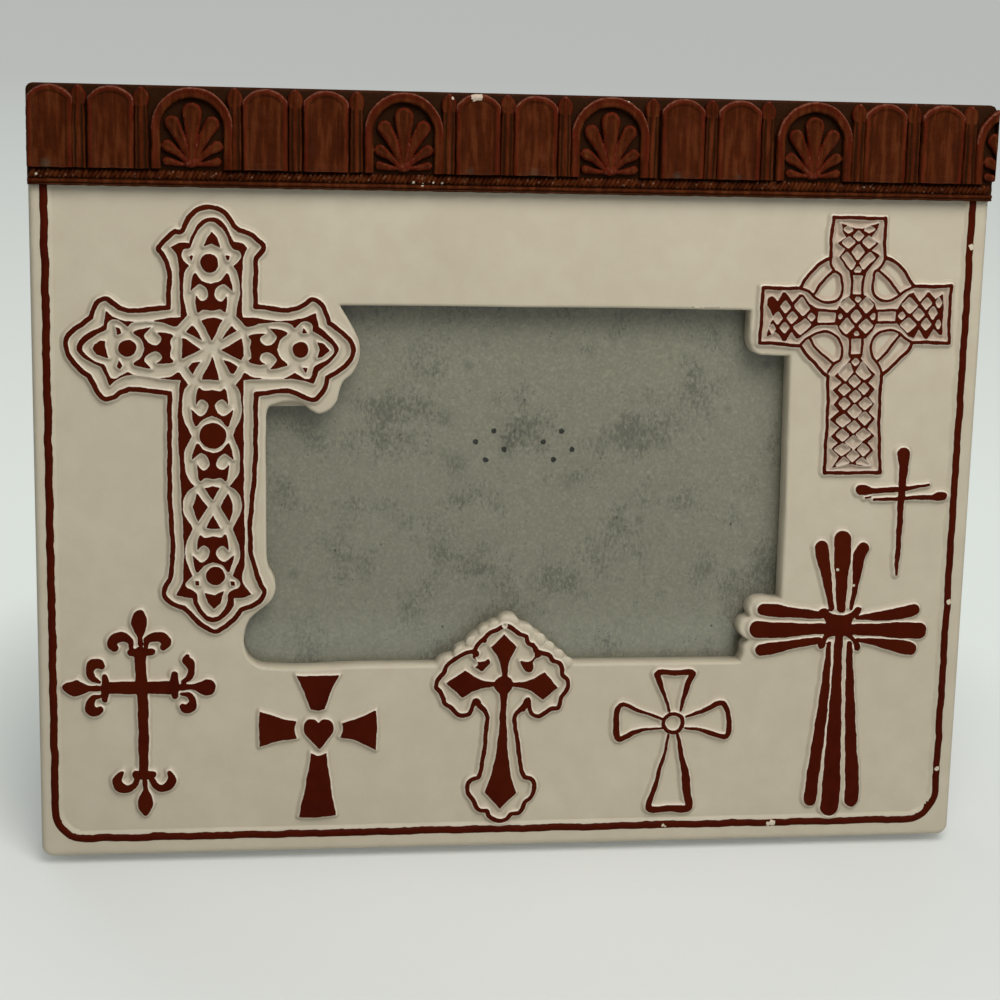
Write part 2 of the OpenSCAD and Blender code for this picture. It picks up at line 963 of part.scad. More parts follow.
module turn_button_screws() {
  head_r = 3;
  head_t = 1.6;
  slot = 0.7;
  color(steel)
    stand()
      at_buttons()
        difference() {
          union() {
            translate([0, -screw_depth, 0])
              rotate([-90, 0, 0])
                cylinder(r = screw_r, h = screw_depth + button_t + 2 * run_gap + 0.1);
            translate([0, button_t + 2 * run_gap, 0])
              rotate([-90, 0, 0])
                cylinder(r = head_r, h = head_t);
          }
          translate([-head_r - 1, button_t + 2 * run_gap + head_t - slot, -slot / 2])
            cube([2 * head_r + 2, slot + 1, slot]);
        }
}

frame_casting();
cornice();
glass_pane();
backing_board();
backing_cover();
hinge_fixed_leaf();
hinge_pronged_rivets();
hinge_pin();
hinge_moving_leaf();
strut_board();
strut_rivets();
turn_button(-1, 0);  // turn_button_1
turn_button(1, 0);  // turn_button_2
turn_button(-1, 1);  // turn_button_3
turn_button(1, 1);  // turn_button_4
turn_button_screws();
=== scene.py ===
# %% [markdown]
# A standing picture frame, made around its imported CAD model.
# The CAD holds the sizes and the moving parts. This script gives the frame its looks: cast crosses
# with painted tops, a stained moulding, grey board behind glass, and the plated fittings of the back.
# Everything is drawn flat first, as one would draw on the face of the panel, and leaned back at the end.

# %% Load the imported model
import math

import bmesh
import bpy
import numpy as np
from mathutils import Matrix, Vector


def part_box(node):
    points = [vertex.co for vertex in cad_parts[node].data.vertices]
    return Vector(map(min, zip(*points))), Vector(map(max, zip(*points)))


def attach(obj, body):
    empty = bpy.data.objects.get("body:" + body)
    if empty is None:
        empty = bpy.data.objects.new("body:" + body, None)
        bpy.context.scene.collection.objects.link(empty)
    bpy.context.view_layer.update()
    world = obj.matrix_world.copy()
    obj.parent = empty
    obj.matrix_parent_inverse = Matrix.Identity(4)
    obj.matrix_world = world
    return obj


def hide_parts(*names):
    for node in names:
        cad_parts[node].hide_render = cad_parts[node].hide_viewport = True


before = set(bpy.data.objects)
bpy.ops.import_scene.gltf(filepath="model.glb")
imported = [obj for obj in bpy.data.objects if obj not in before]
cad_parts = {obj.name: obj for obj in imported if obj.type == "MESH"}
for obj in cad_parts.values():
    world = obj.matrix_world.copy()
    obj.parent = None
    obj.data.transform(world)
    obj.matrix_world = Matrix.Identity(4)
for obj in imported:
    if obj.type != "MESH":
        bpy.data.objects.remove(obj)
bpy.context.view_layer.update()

# %% [markdown]
# The drawing plane. A point of the panel is (u, v, d) in millimetres: u to the right from its middle,
# v up from its lower edge, d forward from the back of the casting. One matrix leans that drawing
# back by 13 degrees and stands its lower rear edge on the floor, which is where the CAD has it.

# %% Lean the drawing into the shared frame
LEAN = math.radians(13)
PANEL_W, PANEL_H = 254.0, 205.0
cos_lean, sin_lean = math.cos(LEAN), math.sin(LEAN)
# The board's middle in the drawing tells where the drawing stands. Its thickness serves further down.
BOARD_V, BOARD_D, BOARD_T = 101, 2.5, 3
board_low, board_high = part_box("backing_board")
stand_y = (board_low.y + board_high.y) * 500 + BOARD_D * cos_lean - BOARD_V * sin_lean
LEAN_BACK = Matrix((
    (0.001, 0, 0, 0),
    (0, 0.001 * sin_lean, -0.001 * cos_lean, 0.001 * stand_y),
    (0, 0.001 * cos_lean, 0.001 * sin_lean, 0),
    (0, 0, 0, 1)))


def place(u, v, d):
    return LEAN_BACK @ Vector((u, v, d))


print("the panel's lower rear edge stands at y", round(stand_y, 3), "mm")

# %% [markdown]
# The camera first. Its place was solved from the four corners of the panel in the photograph: a
# 72 mm lens a little over half a metre away, to the left and above, tilted by about 3 degrees.
# Its three directions are given along the panel's own: to the right, up and out of the panel.

# %% Camera at the photograph's place


def into_scene(name, data):
    """A new object in the scene, at the origin and unturned."""
    made = bpy.data.objects.new(name, data)
    bpy.context.scene.collection.objects.link(made)
    return made


camera_data = bpy.data.cameras.new("photo_camera")
camera_data.lens = 72
camera_data.sensor_width = 36
camera_data.clip_end = 20
camera = into_scene("photo_camera", camera_data)
bpy.context.scene.camera = camera
RIM_D = 13.5
camera_spot = place(-74.8, 197.0, RIM_D + 523.8)
lean_only = LEAN_BACK.to_3x3().normalized()
to_right = lean_only @ Vector((0.9914, 0.0219, 0.1290))
looking = lean_only @ Vector((0.1308, -0.1843, -0.9741))
looking.normalize()
to_right = (to_right - looking * to_right.dot(looking)).normalized()
upward = to_right.cross(looking)
turn = Matrix((to_right, upward, -looking)).transposed()
camera.matrix_world = Matrix.Translation(camera_spot) @ turn.to_4x4()
print("camera at", [round(x, 4) for x in camera_spot])

# %% [markdown]
# Two small helpers serve every node tree below, for materials and for Geometry Nodes alike: one turns
# a colour, written in sRGB hex as on a paint chart, into linear light, and one adds a node. The others
# lay coats of paint over a ground, and make specks and round marks for such coats. Long names of nodes
# that come often are kept here under short ones.

# %% Helpers for node trees and colours
NOISE, RANGE, MIX = "ShaderNodeTexNoise", "ShaderNodeMapRange", "ShaderNodeMix"
MATH, VECTOR_MATH, XYZ = "ShaderNodeMath", "ShaderNodeVectorMath", "ShaderNodeCombineXYZ"
BUMP, STORED, OUTPUT = "ShaderNodeBump", "ShaderNodeAttribute", "ShaderNodeOutputMaterial"
TRANSFORM, INSTANCES = "GeometryNodeTransform", "GeometryNodeInstanceOnPoints"
RANDOM, MAPPING = "FunctionNodeRandomValue", "ShaderNodeMapping"


def linear(code):
    """sRGB hex to the linear colour that a shader takes."""
    parts = [int(code[i:i + 2], 16) / 255 for i in (0, 2, 4)]
    return [c / 12.92 if c <= 0.04045 else ((c + 0.055) / 1.055) ** 2.4 for c in parts] + [1.0]


def add(tree, kind, inputs=None, out=None, **settings):
    """Add one node with its settings, link or set its inputs, and give it back, or one output of it.

    Inputs come by name, or as a list in the order of the node's sockets."""
    made = tree.nodes.new(kind)
    for key, value in settings.items():
        setattr(made, key, value)
    for key, value in enumerate(inputs) if isinstance(inputs, list) else (inputs or {}).items():
        if isinstance(value, bpy.types.NodeSocket):
            tree.links.new(value, made.inputs[key])
        else:
            made.inputs[key].default_value = value
    return made if out is None else made.outputs[out]


def new_material(name):
    """An empty material and its tree, with object coordinates ready."""
    material = bpy.data.materials.new(name)
    material.use_nodes = True
    tree = material.node_tree
    tree.nodes.clear()
    return material, tree, add(tree, "ShaderNodeTexCoord", out="Object")


def layered(tree, ground, coats):
    """A colour laid like paint: a ground, then coats over it, each by an amount."""
    colour = linear(ground)
    for amount, code in coats:
        colour = add(tree, MIX, {"Factor": amount, "A": colour, "B": linear(code)}, "Result",
                     data_type="RGBA")
    return colour


def finish_painted(tree, ground, coats, inputs):
    """End a material in one shader that wears the ground and its coats."""
    surface = add(tree, "ShaderNodeBsdfPrincipled", {
        "Base Color": layered(tree, ground, coats), **inputs}, "BSDF")
    add(tree, OUTPUT, {"Surface": surface})


def per_mm(size):
    """Noise scale, in object metres, whose features are about this many millimetres."""
    return 1000 / size


def fleck(tree, spot, size, share, radius, soft=0.5):
    """Specks of a radius in mm, one to a cell of a size in mm; a share of the cells stays empty."""
    cells = add(tree, "ShaderNodeTexVoronoi", {"Vector": spot, "Scale": per_mm(size)})
    chance = add(tree, "ShaderNodeSeparateColor", {"Color": cells.outputs["Color"]}, "Green")
    here = add(tree, MATH, [chance, share], "Value", operation="GREATER_THAN")
    edge = radius / size
    speck = add(tree, RANGE, [cells.outputs["Distance"], edge * (1 - soft), edge, 1, 0], "Result")
    return add(tree, MATH, [here, speck], "Value", operation="MULTIPLY")


def blot(tree, spot, where, ragged, radius, soft, strength=1.0):
    """A round mark of a radius in mm, whose edge a noise makes ragged."""
    away = add(tree, VECTOR_MATH, [spot, where], "Value", operation="DISTANCE")
    # The noise is about a half, which adds 0.7 of the radius; the rest is the radius itself.
    edge = add(tree, MATH, [ragged, radius * 0.0014, away], "Value", operation="MULTIPLY_ADD")
    outer = radius * 0.0017
    return add(tree, RANGE, [edge, outer - soft * 0.001, outer, strength, 0], "Result")


print("helpers ready; linear of middle grey", round(linear("808080")[0], 3))

# %% [markdown]
# Cream paint: satin wall-paint over cast resin, brushed on by hand. The eye sees an even warm cream
# with faint broad clouds where the coat is thicker, a low orange-peel, and a few dark specks of dust.
# Beside a painted edge the cream is paler: the coat was rubbed through to a paler first coat there,
# and the paler band is also a painted highlight. In the channels between the painted shapes and at the
# foot of each wall the cream is darker: painted shade, with a little dust that has settled. Both follow
# the distance to the nearest paint, which the relief stores as the attribute edge_mm; channel is 1 on
# the reliefs alone, and washed is 1 in the wheel cross, where thinned red has run into the cream cells.

# %% Cream paint


def cream_paint():
    material, tree, spot = new_material("cream_satin_paint")
    broad, close, sheen, brushed, orange_peel = [
        add(tree, NOISE, {"Vector": spot, "Scale": per_mm(size), "Detail": detail}, "Fac")
        for size, detail in ((38, 3), (6, 3), (9, 2), (14, 1), (1.3, 2))]
    edge, relief, washed = [add(tree, STORED, out="Fac", attribute_name=name)
                            for name in ("edge_mm", "channel", "washed")]
    thicker = add(tree, RANGE, [close, 0.35, 0.65, 0, 0.3], "Result")
    # Darker in the channels and at the foot of each wall: painted shade, with a little dust.
    begins = add(tree, RANGE, [edge, 0.35, 0.7, 0, 0.32], "Result")
    ends = add(tree, RANGE, [edge, 0.9, 1.3, 1, 0], "Result")
    channel_shade_and_dust = add(tree, MATH, [begins, ends], "Value", operation="MULTIPLY")
    dust = add(tree, MATH, [channel_shade_and_dust, relief], "Value", operation="MULTIPLY")
    # Paler beside the paint: a coat rubbed through, and a painted highlight.
    wear_and_highlight = add(tree, RANGE, [edge, 0.1, 0.5, 0.75, 0], "Result")
    rubbed_and_highlit = add(tree, MATH, [wear_and_highlight, relief], "Value", operation="MULTIPLY")
    wash = add(tree, MATH, [washed, 0.5], "Value", operation="MULTIPLY")
    speck = fleck(tree, spot, 17, 0.72, 0.4)
    coats = [(broad, "BFB7A2"), (thicker, "ADA08C"), (dust, "9A8D7C"), (rubbed_and_highlit, "DDD1C0"),
             (wash, "A28A7A"), (speck, "514839")]
    wave = add(tree, BUMP, {"Height": brushed, "Strength": 0.3, "Distance": 0.001}, "Normal")
    peel = add(tree, BUMP, {"Height": orange_peel, "Strength": 0.3, "Distance": 0.00008, "Normal": wave},
               "Normal")
    finish_painted(tree, "B1A893", coats, {
        "Roughness": add(tree, RANGE, [sheen, 0.3, 0.7, 0.45, 0.6], "Result"),
        "Normal": peel, "IOR": 1.48, "Specular IOR Level": 0.35})
    return material


CREAM = cream_paint()
print("material", CREAM.name)

# %% [markdown]
# Oxblood paint: a dark red-brown acrylic dabbed over the raised tops only, with a soft brush. It dried
# matt, so it hardly reflects; it is streaky where it is thin, and chipped to the cream in a few specks.

# %% Oxblood paint
# Middle (u, v) and radius of each chip, in mm.
BORDER_CHIPS = [(122.7, 167.3, 0.9), (122.8, 68.6, 0.8), (122.5, 20, 0.7), (75, 4.9, 0.9),
                (73.9, 4.6, 0.7), (43.6, 5, 0.5), (44.2, 4.7, 0.4)]
FAN_CHIPS = [(90.2, 78.1, 0.45), (95, 73.5, 0.45)]


def oxblood_paint(name, chips):
    material, tree, spot = new_material(name)
    streak = add(tree, NOISE, {"Vector": spot, "Scale": per_mm(3.2), "Detail": 4, "Roughness": 0.6}, "Fac")
    broad = add(tree, NOISE, {"Vector": spot, "Scale": per_mm(16)}, "Fac")
    ragged = add(tree, NOISE, {"Vector": spot, "Scale": per_mm(0.8), "Detail": 3}, "Fac")
    coats = [(streak, "4C1304"), (add(tree, RANGE, [broad, 0.4, 0.7, 0, 0.7], "Result"), "451403"),
             (fleck(tree, spot, 11, 0.8, 0.3), "B3A792")]
    for u, v, radius in chips:
        coats.append((blot(tree, spot, place(u, v, RIM_D + 0.3), ragged, radius, 0.12), "C3B8A2"))
    finish_painted(tree, "2D0801", coats, {
        "Roughness": add(tree, RANGE, [streak, 0.3, 0.7, 0.42, 0.6], "Result"),
        "Normal": add(tree, BUMP, {"Height": streak, "Strength": 0.35, "Distance": 0.00015}, "Normal"),
        "IOR": 1.48, "Specular IOR Level": 0.03})
    return material


OXBLOOD = oxblood_paint("oxblood_acrylic", FAN_CHIPS)
OXBLOOD_LINE = oxblood_paint("oxblood_acrylic_border", BORDER_CHIPS)
print("materials", OXBLOOD.name, OXBLOOD_LINE.name)

# %% [markdown]
# The crosses are drawn the way a carver would: as outlines. Each drawing is a signed distance, less
# than nothing inside the shape and more outside, measured in millimetres. Distances are easy to join
# (the smaller one), to cut (the larger one) and to slope walls from, because the height of the
# casting beside a painted edge depends only on how far away that edge is. The points of a drawing
# are written as plain text, u and v in millimetres on the panel, to keep the lists short.

# %% Drawing with distances
REACH = 3.0
FAR = 9.0


def read(text):
    """Points from text: u and v, maybe a half width. A star marks a sharp corner."""
    out = []
    for part in text.split(","):
        numbers = tuple(float(n) for n in part.replace("*", " ").split())
        out += [numbers] * (1 + part.count("*"))
    return out


def read_all(text):
    return [read(part) for part in text.split(";")]


def curve(points, closed=False, steps=5):
    """A smooth line through the points. A point given twice stays a corner."""
    p = np.array(points, float)
    count = len(p)
    last = count if closed else count - 1
    tangents = np.zeros_like(p)
    for i in range(count):
        before, after = p[i] - p[i - 1], p[(i + 1) % count] - p[i]
        if not closed and i == 0:
            before = after
        if not closed and i == count - 1:
            after = before
        a, b = np.linalg.norm(before), np.linalg.norm(after)
        if a < 1e-9 or b < 1e-9:
            whole = before + after
            tangents[i] = whole / max(np.linalg.norm(whole), 1e-9)
        else:
            tangents[i] = (before / a * b + after / b * a) / (a + b)
    out = []
    for i in range(last):
        j = (i + 1) % count
        length = np.linalg.norm(p[j] - p[i])
        if length < 1e-9:
            continue
        for t in np.arange(steps) / steps:
            h0 = 2 * t**3 - 3 * t**2 + 1
            h1 = t**3 - 2 * t**2 + t
            h2 = -2 * t**3 + 3 * t**2
            h3 = t**3 - t**2
            out.append(h0 * p[i] + h1 * length * tangents[i] + h2 * p[j] + h3 * length * tangents[j])
    if not closed:
        out.append(p[-1])
    return np.array(out)


def line(points, width=1.0, closed=False, soft=True):
    """Distance to a stroke. A third number of a point is its own half width there."""
    rows = [tuple(p) if len(p) == 3 else (p[0], p[1], width / 2) for p in points]
    path = curve(rows, closed) if soft else np.array(rows, float)
    ends = np.roll(path, -1, axis=0) if closed else path[1:]
    starts = path if closed else path[:-1]
    widest = path[:, 2].max() + REACH
    low, high = path[:, :2].min(axis=0) - widest, path[:, :2].max(axis=0) + widest

    def shape(x, y):
        out = np.full(x.shape, FAR)
        near = np.flatnonzero((x > low[0]) & (x < high[0]) & (y > low[1]) & (y < high[1]))
        px, py = x[near], y[near]
        best = np.full(len(near), FAR)
        for a, b in zip(starts, ends):
            close = np.flatnonzero((px > min(a[0], b[0]) - widest) & (px < max(a[0], b[0]) + widest)
                                   & (py > min(a[1], b[1]) - widest) & (py < max(a[1], b[1]) + widest))
            along = b[:2] - a[:2]
            square = max(along @ along, 1e-12)
            t = np.clip(((px[close] - a[0]) * along[0] + (py[close] - a[1]) * along[1]) / square, 0, 1)
            gap = np.hypot(px[close] - a[0] - t * along[0], py[close] - a[1] - t * along[1])
            best[close] = np.minimum(best[close], gap - a[2] - t * (b[2] - a[2]))
        out[near] = best
        return out

    return shape


def area(points, soft=True):
    """Distance to a closed outline, less than nothing inside it."""
    ring = curve(points, True) if soft else np.array(points, float)
    border = line([(p[0], p[1], 0.0) for p in ring], closed=True, soft=False)

    def shape(x, y):
        gap = border(x, y)
        inside = np.zeros(x.shape, bool)
        for a, b in zip(ring, np.roll(ring, -1, axis=0)):
            rise = b[1] - a[1]
            if abs(rise) > 1e-12:
                crosses = ((a[1] > y) != (b[1] > y)) & (x < a[0] + (y - a[1]) * (b[0] - a[0]) / rise)
                inside ^= crosses
        return np.where(inside, -gap, gap)

    return shape


def disc(u, v, radius):
    return lambda x, y: np.hypot(x - u, y - v) - radius


def join(*shapes):
    return lambda x, y: np.minimum.reduce([shape(x, y) for shape in shapes])


def cut(whole, *holes):
    return lambda x, y: np.maximum(whole(x, y), -join(*holes)(x, y))


def wander(x, y, seed):
    """Offsets of a fraction of a millimetre, so that no line is straighter than a hand makes it."""
    turns = np.random.default_rng(seed).uniform(0, 2 * math.pi, 8)
    du = (0.08 * np.sin(0.55 * x + 0.80 * y + turns[0]) + 0.04 * np.sin(1.9 * y - 1.2 * x + turns[1])
          + 0.02 * np.sin(4.1 * x + 3.3 * y + turns[2]) + 0.01 * np.sin(7.3 * y - 5.1 * x + turns[3]))
    dv = (0.08 * np.sin(0.75 * y - 0.60 * x + turns[4]) + 0.04 * np.sin(1.7 * x + 1.4 * y + turns[5])
          + 0.02 * np.sin(3.7 * y - 4.3 * x + turns[6]) + 0.01 * np.sin(6.7 * x + 5.9 * y + turns[7]))
    return du, dv


print("drawing tools ready; strokes reach", REACH, "mm past their edges")

# %% [markdown]
# The ground that the crosses stand on. The window is one irregular outline, because four crosses lap
# into it; the casting keeps a step of cream round each of them. The field lies a millimetre below the
# rim, and rises to it under the border line. Both rules are kept in one function, so that every piece
# of the front meets the next one at the same height.

# %% Window outline and ground
FIELD_D, GLASS_FRONT_D = 12.5, 6.2
CORNICE_V = 179.5
LIP_R, EDGE_R, CORNER_R = 0.7, 1.5, 3.0
BORDER_LEFT, BORDER_RIGHT, BORDER_LOW, BORDER_CORNER = -123.2, 122.4, 5.0, 8.0
# Where the rim begins to fall inside the border line, and where it meets the field.
RIM_FLAT, RIM_FOOT = 1.1, 2.0
# Behind the cornice the front is flat, with a smaller edge.
HIDDEN_FROM, HIDDEN_TO, HIDDEN_EDGE_R = CORNICE_V + 0.5, CORNICE_V + 0.9, 0.4
WINDOW = read("""
-47.8 149.6*,-46.4 147.4,-44.2 143.6,-42.5 139.6,-42.7 135,-44.4 131.6,-46.9 129.2,
-47.6 127.4,-48.4 124.3,-50.6 121.8,-53 120.9,-55.4 122,-57.6 123.8,-60.2 124.2,-64.6 123.4,
-66.2 122.6,-66.8 121,-66.9 118,-66.9 100,-66.8 85,-66.7 81.6,-66.2 79.2,-64.8 76.4,
-64.4 73.2,-65.7 70.2,-68.8 67.6,-71.3 65.2,-72.6 61.6,-72.6 57,-71.2 54,-68.6 52.2,
-65 51.7,-42 51.8,-21 51.8*,-19.6 53.2,-17.7 54,-16.2 54.3*,-15.3 56,-13.9 56.9,-12.7 57.2*,
-12 58.7,-10.6 59.9,-9.4 60.5*,-8.3 62,-6.2 62.8*,-5.2 63.5,-4.1 63.6*,-2.8 65,-.9 65.5,
.9 65,2.1 63*,3.8 62.7,5.6 61.8,6.4 60.8*,8 59.9,8.8 58.4*,10.4 57.6,11.4 56.1*,13 55.4,
13.8 54*,15.5 53.4,16.8 51.8*,40 51.7,64 51.7*,64.7 53.4,64.9 55.8,66.4 57.9*,
64.3 59.1,63.3 61.4,64.2 63.4,66.4 64.4*,65.8 66.6,67 68.9,69.6 69.8,72.6 69.6,74.9 69.4*,
74.9 90,74.4 120,74.1 137.2*,68 137.3,65.6 137.5,63.9 138.4,62.9 140.6,62.7 143,
62.7 149.4*,30 149.7,0 149.6,-25 149.7""")
window_shape = area(WINDOW)


def rounded_box(x, y, left, right, low, high, radius):
    """Distance inwards from the sides of a round-cornered box."""
    dx = np.abs(x - (left + right) / 2) - (right - left) / 2 + radius
    dy = np.abs(y - (low + high) / 2) - (high - low) / 2 + radius
    return radius - np.hypot(np.maximum(dx, 0), np.maximum(dy, 0)) - np.minimum(np.maximum(dx, dy), 0)


def smooth(x, start, end):
    t = np.clip((x - start) / (end - start), 0, 1)
    return t * t * (3 - 2 * t)


def bell(x, middle, width):
    return np.exp(-((x - middle) / width)**2)


def round_drop(distance, radius):
    """How far a rounded edge lies below the flat, at a distance in from the edge."""
    left = np.clip(radius - distance, 0, radius)
    return radius - np.sqrt(radius**2 - left**2)


def from_border(x, y):
    """Distance inwards from the middle of the border line, which is open at the top."""
    du, dv = wander(x * 0.6, y * 0.6, 11)
    return rounded_box(x + du, y + dv, BORDER_LEFT, BORDER_RIGHT, BORDER_LOW, 500, BORDER_CORNER)


def from_outline(x, y):
    return rounded_box(x, y, -PANEL_W / 2, PANEL_W / 2, 0, PANEL_H, CORNER_R)


def ground(x, y, window_gap):
    """Depth of the casting's bare front, counted from its back."""
    rim = FIELD_D + (RIM_D - FIELD_D) * (1 - smooth(from_border(x, y), RIM_FLAT, RIM_FOOT))
    hidden = smooth(y, HIDDEN_FROM, HIDDEN_TO)
    height = rim + (FIELD_D - rim) * hidden
    edge_r = EDGE_R * (1 - hidden) + HIDDEN_EDGE_R * hidden
    return height - round_drop(from_outline(x, y), edge_r) - round_drop(window_gap, LIP_R)


print("window outline has", len(WINDOW), "points")

# %% [markdown]
# From a drawing to a mesh. A flat grid of triangles is laid over the drawing and cut exactly where
# the paint ends, so a painted edge is crisp however coarse the grid is, and the paint and the cream
# can have a material each. New points on a cut edge are shared, so no crack opens.

# %% Grid, exact cuts and walls


def grid(low, high, cell):
    """Points (x, y) of a grid and its triangles, with alternate diagonals."""
    nx = max(2, int(math.ceil((high[0] - low[0]) / cell)) + 1)
    ny = max(2, int(math.ceil((high[1] - low[1]) / cell)) + 1)
    x, y = np.meshgrid(np.linspace(low[0], high[0], nx), np.linspace(low[1], high[1], ny))
    first = (np.arange(ny - 1)[:, None] * nx + np.arange(nx - 1)[None, :]).ravel()
    a, b, c, d = first, first + 1, first + nx + 1, first + nx
    flip = ((first // nx + first % nx) % 2).astype(bool)[:, None]
    one = np.where(flip, np.stack([a, b, d], 1), np.stack([a, b, c], 1))
    two = np.where(flip, np.stack([b, c, d], 1), np.stack([a, c, d], 1))
    return np.stack([x.ravel(), y.ravel()], 1), np.concatenate([one, two])


def slice_at(points, triangles, column, level, snap):
    """Cut the triangles where one column of the points passes a level."""
    offset = points[:, column] - level
    offset[np.abs(offset) < snap] = 0
    points = points.copy()
    points[:, column] = level + offset
    sign = np.sign(offset)[triangles]
    lone, zero = [], []
    done = np.zeros(len(triangles), bool)
    for i in range(3):
        j, k = (i + 1) % 3, (i + 2) % 3
        is_lone = (sign[:, i] * sign[:, j] < 0) & (sign[:, i] * sign[:, k] < 0)
        is_zero = (sign[:, i] == 0) & (sign[:, j] * sign[:, k] < 0)
        lone.append(triangles[is_lone][:, [i, j, k]])
        zero.append(triangles[is_zero][:, [i, j, k]])
        done |= is_lone | is_zero
    kept = triangles[~done]
    lone, zero = np.concatenate(lone), np.concatenate(zero)
    pairs = np.concatenate([lone[:, [0, 1]], lone[:, [2, 0]], zero[:, [1, 2]]])
    if not len(pairs):
        return points, triangles
    ordered = np.sort(pairs, axis=1)
    unique, where = np.unique(ordered, axis=0, return_inverse=True)
    where = where.ravel()
    a, b = unique[:, 0], unique[:, 1]
    t = offset[a] / (offset[a] - offset[b])
    fresh = points[a] + t[:, None] * (points[b] - points[a])
    fresh[:, column] = level
    new = where + len(points)
    n = len(lone)
    p, q, r = new[:n], new[n:2 * n], new[2 * n:]
    cuts = [np.stack(corners, 1) for corners in (
        (lone[:, 0], p, q), (p, lone[:, 1], lone[:, 2]), (p, lone[:, 2], q),
        (zero[:, 0], zero[:, 1], r), (zero[:, 0], r, zero[:, 2]))]
    return np.concatenate([points, fresh]), np.concatenate([kept] + cuts)


def drop_unused(points, triangles):
    used, where = np.unique(triangles, return_inverse=True)
    return points[used], where.reshape(triangles.shape)


def open_edges(triangles):
    """Edges that only one triangle has, in that triangle's direction."""
    pairs = np.concatenate([triangles[:, [0, 1]], triangles[:, [1, 2]], triangles[:, [2, 0]]])
    keys = np.sort(pairs, axis=1)
    _, where, count = np.unique(keys, axis=0, return_inverse=True, return_counts=True)
    return pairs[count[where.ravel()] == 1]


def fill_flat(bm, edges, normal, material_index=0):
    """Close flat loops of edges, with any loops inside them as holes."""
    made = bmesh.ops.triangle_fill(bm, use_beauty=False, use_dissolve=False, edges=edges, normal=normal)
    faces = [f for f in made["geom"] if isinstance(f, bmesh.types.BMFace)]
    for face in faces:
        face.material_index = material_index
        face.smooth = False
        face.normal_update()
        if face.normal.dot(Vector(normal)) < 0:
            face.normal_flip()
    return faces


def to_object(name, bm, materials, lean=True):
    """Store a drawn mesh as an object at the origin, leaned back into its place."""
    mesh = bpy.data.meshes.new(name)
    bm.to_mesh(mesh)
    bm.free()
    if lean:
        mesh.transform(LEAN_BACK)
    for material in materials:
        mesh.materials.append(material)
    return into_scene(name, mesh)


def ride_with_frame(piece, node=None):
    """Fix a piece to the frame and, where it stands for a CAD node, hide that node."""
    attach(piece, "frame")
    if node:
        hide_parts(node)
    print(piece.name, sum(len(p.vertices) - 2 for p in piece.data.polygons), "triangles")


print("grid tools ready")

# %% [markdown]
# One function casts a relief from a drawing. The tops are flat and painted. Beside a painted edge
# the wall falls fast and then eases into the ground, which gives the bright line of cream that
# follows every painted shape. Each relief is its own closed piece, sunk into the casting, so that
# none of them grows past what a printer's or a game's file holds well.

# %% Cast a relief
RELIEF_H = 1.3
WALL_W = 1.35
EDGE_DROP = 0.10
SINK_D = 10.0
# A relief stops this short of the window, and its foot goes this far into the ground.
EDGE_GAP, FOOT_SINK = 0.02, 0.02


def wall(distance):
    """Height above the ground at a distance from the paint: flat top, rounded edge, easing foot."""
    outside = np.clip(distance / WALL_W, 0, 1)
    fall = RELIEF_H * (1 - outside) ** 2.3
    top = RELIEF_H - EDGE_DROP * np.exp(np.minimum(distance, 0) / 0.16)
    return np.where(distance <= 0, top, np.minimum(fall, RELIEF_H - EDGE_DROP))


def sunk_mesh(columns, triangles, heights, painted, attributes, bottom, at_bottom=None):
    """A closed bmesh: the relief above, walls all round, and a flat floor at the bottom."""
    bm = bmesh.new()
    layers = {key: bm.verts.layers.float.new(key) for key in attributes}
    verts = [bm.verts.new((x, y, z)) for (x, y), z in zip(columns[:, :2], heights)]
    for key, values in attributes.items():
        layer = layers[key]
        for vert, value in zip(verts, values):
            vert[layer] = value
    for (a, b, c), is_painted in zip(triangles, painted):
        face = bm.faces.new((verts[a], verts[b], verts[c]))
        face.material_index = 1 if is_painted else 0
        face.smooth = True
    lower = {}
    for i in np.unique(open_edges(triangles)):
        x, y = columns[i, :2]
        lower[i] = bm.verts.new((x, y, bottom))
        for key, value in (at_bottom or {}).items():
            lower[i][layers[key]] = value
    floor_edges = []
    for a, b in open_edges(triangles):
        face = bm.faces.new((verts[b], verts[a], lower[a], lower[b]))
        face.smooth = False
        floor_edges.append(bm.edges.get((lower[a], lower[b])))
    fill_flat(bm, floor_edges, (0, 0, -1))
    return bm


def cast_relief(name, shape, low, high, seed, cell=0.3, washed=None):
    """One cross, from its drawing to a piece that rides with the frame."""
    points, triangles = grid(low, high, cell)
    x, y = points.T
    du, dv = wander(x, y, seed)
    paint = shape(x + du, y + dv)
    gap = window_shape(x, y)
    columns = np.stack([x, y, paint, gap], 1)
    near = (paint[triangles].min(axis=1) < WALL_W) & (gap[triangles].max(axis=1) > EDGE_GAP)
    triangles = triangles[near]
    for column, level in ((2, 0.0), (2, WALL_W), (3, EDGE_GAP)):
        columns, triangles = slice_at(columns, triangles, column, level, cell * 0.12)
    middle = columns[triangles].mean(axis=1)
    triangles = triangles[(middle[:, 2] < WALL_W) & (middle[:, 3] > EDGE_GAP)]
    columns, triangles = drop_unused(columns, triangles)
    x, y, paint, gap = columns.T
    heights = ground(x, y, gap) + wall(paint) - FOOT_SINK * smooth(paint, 0.9, WALL_W)
    painted = columns[triangles][:, :, 2].mean(axis=1) < 0
    stained = np.where(washed(x, y) < 0, 1.0, 0.0) if washed else np.zeros(len(x))
    bm = sunk_mesh(columns, triangles, heights, painted,
                   {"edge_mm": paint, "channel": np.full(len(x), 1.0), "washed": stained}, SINK_D)
    ride_with_frame(to_object(name, bm, [CREAM, OXBLOOD]))


print("walls are", WALL_W, "mm wide and", RELIEF_H, "mm high")

# %% [markdown]
# The largest cross, at the left: a budded cross whose painted tops leave a lace of cream rings. It is
# an outline, a dark field, the lace let into the field, and small painted islands inside the lace.
# The little hooked shape comes six times, so it is drawn once and set down with a turn.

# %% Draw the budded cross
BUD_AXIS = -81.0
